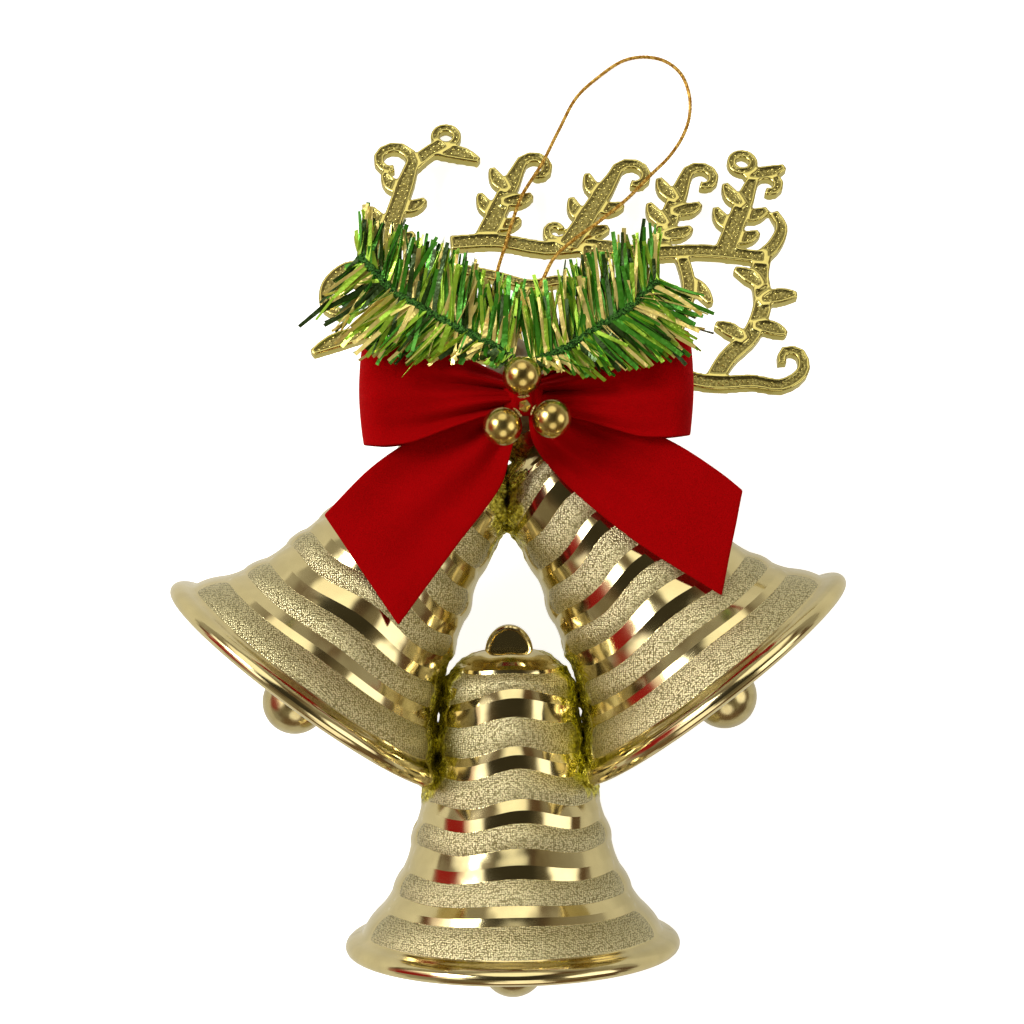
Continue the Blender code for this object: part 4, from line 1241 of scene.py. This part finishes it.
for berry in ("top", "left", "right"):
    node = f"berry_{berry}"
    radius = LACQUER * max(size_of(node)) / 2
    ball = added("berry", bpy.ops.mesh.primitive_uv_sphere_add, segments=64, ring_count=40, radius=radius)
    placed(ball, pointing(middle(node), middle(node) - middle("berry_hub")))
    ball.name = f"ball_{berry}"
    set_up(shade(ball, 60), "berry_gold", node)
    collar = lumpy(f"berry_collar_{berry}", f"collar_{berry}", 0.16 * MM, 0.5 * MM, 0.32 * MM)
    set_up(collar, "gold_glitter", f"berry_collar_{berry}")

set_up(worked_copy("berry_hub", "hub"), "berry_gold", "berry_hub")
set_up(shade(worked_copy("berry_stem", "stem"), 40), "steel_wire", "berry_stem")

# %% [markdown]
# Tinsel is foil strips held by a twisted wire. One strip is modelled and copied some hundreds of times: each copy
# starts on the wire, points at its place on the branch's outline, and gets its own length, turn and tint.

# %% Tinsel
TINSEL_Z = 78.97
CORE_ROUTES = {
    "left": [(-36.5, 65.4), (-28.1, 56.4), (-20.3, 51.7), (-7.8, 44.7), (-1.6, 41.6), (2.4, 39.9)],
    "right": [(38.9, 58.2), (31.1, 51.1), (23.2, 46.4), (15.8, 41.6), (10.6, 39.6), (6.4, 38.6)],
}
TIPS = {
    ("left", "upper"): [(-36, 79.0), (-24, 73), (-12, 66.5), (-1.6, 60), (5.0, 57)],
    ("right", "upper"): [(39.5, 72.5), (30, 69.5), (20, 64.5), (10.6, 57.5), (4.4, 55)],
    ("left", "lower"): [(-44, 58), (-46.5, 50.5), (-41, 43), (-30, 38), (-18, 38.2), (-6.5, 38.8), (0.8, 36.0)],
    ("right", "lower"): [(50, 53), (51, 44), (44, 38.5), (33, 36), (22, 34), (13, 36.0), (7.6, 35.2)],
}
LONG_STRIPS, SHORT_STRIPS = 180, 90
TINT_SHARES = {0.05: 0.17, 0.3: 0.27, 0.6: 0.27, 0.9: 0.29}


def strip_model():
    """One foil strip, 1 long and 1 wide: a cube cut into segments."""
    strip = added("strip", bpy.ops.mesh.primitive_cube_add, size=1, location=(0.5, 0, 0))
    with editing(strip):
        choose(strip, "edges", lambda e: abs(e.verts[0].co.x - e.verts[1].co.x) > 0.5)
        bpy.ops.mesh.subdivide(number_cuts=6)
    return face_out(strip)


strip = strip_model()
STRIP = points_of(strip)
STRIP_FACES = [list(p.vertices) for p in strip.data.polygons]
bpy.data.objects.remove(strip)


def one_strip(root, tip, width, roll, curl, twist):
    """The strip's points, from root to tip."""
    along = Vector(tip) - Vector(root)
    length = along.length
    along.normalize()
    across = along.cross(Vector((0, 0, 1))).normalized()
    up = across.cross(along)
    s = STRIP[:, 0]
    angle = roll + twist * s
    taper = width * (1 - 0.25 * s)
    flat = STRIP[:, 1] * taper
    thin = STRIP[:, 2] * 0.07 + curl[1] * length * (s * s - s)
    side = flat * np.cos(angle) - thin * np.sin(angle) + curl[0] * length * (s * s - s)
    rise = flat * np.sin(angle) + thin * np.cos(angle)
    return (np.array(root) + np.outer(s * length, along) + np.outer(side, across) + np.outer(rise, up)) * MM


def branch(side, row):
    """One fan of strips between the core and the outline of its tips."""
    core, tips = (
        smooth_through([(x, y, TINSEL_Z) for x, y in route], 100) for route in (CORE_ROUTES[side], TIPS[side, row])
    )
    strips, tints = [], []
    for i in range(LONG_STRIPS + SHORT_STRIPS):
        at = rng.uniform(0, 1) if i % 6 else rng.uniform(0.86, 1)
        root = core[int(at * 99)]
        tip = tips[int(np.clip(at + rng.normal(0, 0.06), 0, 1) * 99)]
        share = rng.uniform(0.72, 1.04) if i < LONG_STRIPS else rng.uniform(0.35, 0.70)
        if rng.uniform() < 0.08:
            share *= 1.10
        lift = rng.uniform(-3.2, 3.2)
        end = root + (tip - root) * share + Vector((rng.normal(0, 0.9), rng.normal(0, 0.7), lift))
        start = root + Vector((0, 0, 0.25 * lift))
        strips.append(one_strip(
            start, end, rng.uniform(0.9, 1.6), rng.normal(0, 0.5), rng.normal(0, 0.07, 2), rng.normal(0, 0.7)
        ))
        tints.append(rng.choice(list(TINT_SHARES), p=list(TINT_SHARES.values())))
    if (side, row) == ("left", "lower"):
        # one stiff dark strip stands out at the far end
        strips.append(one_strip((-44, 54, TINSEL_Z), (-52, 47.6, TINSEL_Z), 1.3, 0.2, (0, 0), 0.4))
        tints.append(min(TINT_SHARES))
    obj = many(f"foil_{side}_{row}", [strip + np.array(SHIFT) for strip in strips], STRIP_FACES)
    mark(obj, "tint", np.repeat(tints, len(STRIP)))
    return obj


for side, (x, y) in {"left": (1.0, 40.6), "right": (7.4, 39.2)}.items():
    route = [(*p, TINSEL_Z) for p in CORE_ROUTES[side][:-1]]
    route += [(x, y, TINSEL_Z - 1), (x + 0.3, y - 0.8, TINSEL_Z - 10)]
    core, _ = twisted(f"core_{side}", laid_out(route), 1.2 * MM, 2, 4.0 * MM, rings=200)
    set_up(core, "tinsel_core", f"tinsel_core_{side}")
    for row in ("upper", "lower"):
        set_up(branch(side, row), "tinsel_foil", f"tinsel_{side}_{row}")

# %% [markdown]
# Everything at the middle is held by one bead of hot-melt glue. It is seldom seen, and is only smoothed and clouded;
# its colour is darkened as painted shade.

# %% Glue
set_up(lumpy("glue_bead", "glue", 0.5 * MM, 5 * MM, 0.35 * MM), "hot_melt_glue", "glue_bead")

# %% [markdown]
# The ornament lies on a white table in a bright room. The table glows a little, so that shadows stay faint. Polished
# gold shows what is around it, so the world is drawn as a warm grey room with a dark zone overhead and with pale
# windows at the sides. The camera itself sees white in every direction.

# %% Floor and light
KEY_PLACE = Vector((-0.9, 0.5, 1.0))
# Windows of the room: colour, direction and angular size.
WINDOWS = [
    ((2.0, 1.95, 1.85), (-1.0, 0.25, 0.75), 0.50), ((2.0, 1.95, 1.85), (1.0, 0.0, 0.70), 0.38),
    ((1.5, 1.45, 1.35), (0.1, -1.0, 1.0), 0.36), ((1.5, 1.45, 1.25), (0.0, 1.0, 0.66), 0.42),
]


def floor():
    plane = added("table", bpy.ops.mesh.primitive_plane_add, size=4.0, location=(0, 0, 0))
    finish = Finish("white_table", base_color=(0.9, 0.9, 0.9), roughness=1.0)
    finish.shader.inputs["Specular IOR Level"].default_value = 0.0
    mirrored = finish.node("LightPath", output="Is Glossy Ray")
    finish.surface(
        base_color=finish.mix(mirrored, (0.9, 0.9, 0.9), (0.32, 0.31, 0.28)),
        emission_color=finish.mix(mirrored, (0.82, 0.82, 0.82), (0.46, 0.45, 0.39)),
    )
    finish.shader.inputs["Emission Strength"].default_value = 1.0
    plane.data.materials.append(finish.material)
    plane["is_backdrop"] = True


def room():
    world = bpy.data.worlds.new("room")
    bpy.context.scene.world = world
    world.use_nodes = True
    world.node_tree.nodes.clear()
    sky = Nodes(world.node_tree, "Generated")
    x, y, z = (sky.node("SeparateXYZ", {}, {0: sky.place}, i) for i in range(3))
    soft = sky.noise(0.35, 2)
    light = sky.mix((z + (soft - 0.5) * 0.3).ramp(0.0, 0.6), (0.46, 0.43, 0.36), (0.24, 0.20, 0.13))
    light = sky.mix(sky.noise(0.55, 3).ramp(0.50, 0.60), light, (0.13, 0.075, 0.04))
    light = sky.mix((y * 0.22 + z * 0.975).ramp(0.76, 0.92), light, (0.045, 0.038, 0.022))
    light = sky.mix((y * -1.0 + soft * 0.1).ramp(0.76, 0.90), light, (0.20, 0.12, 0.06))
    for colour, way, size in WINDOWS:
        cx, cy, cz = Vector(way).normalized()
        glow = (x * cx + y * cy + z * cz).ramp(math.cos(size), math.cos(size * 0.75))
        light = sky.node("Mix", {"data_type": "RGBA", "blend_type": "ADD"}, {0: glow, 6: light, 7: colour}, 2)
    red = (x * -0.94 + z * 0.34 + soft * 0.06).ramp(0.92, 1.0)
    light = sky.mix(red, light, (0.36, 0.012, 0.012))
    seen = sky.node("LightPath", output="Is Camera Ray")
    back, white = (sky.node("Background", {}, {"Color": colour}) for colour in (light, (1, 1, 1)))
    both = sky.node("MixShader", {}, {0: seen, 1: back, 2: white})
    sky.feed(sky.tree.nodes.new("ShaderNodeOutputWorld").inputs["Surface"], both)


floor()
room()
bpy.ops.object.light_add(type="AREA", location=KEY_PLACE)
key = bpy.context.object
key.data.size = 0.5
key.data.energy = 12.0
key.rotation_euler = KEY_PLACE.to_track_quat("Z", "Y").to_euler()

# %% [markdown]
# Last, the sizes: the frame's box and the finished model's box, which should agree within a few millimetres.

# %% Sizes and finish
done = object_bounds()
print("finished box, mm:", shown(done[1] - done[0]))
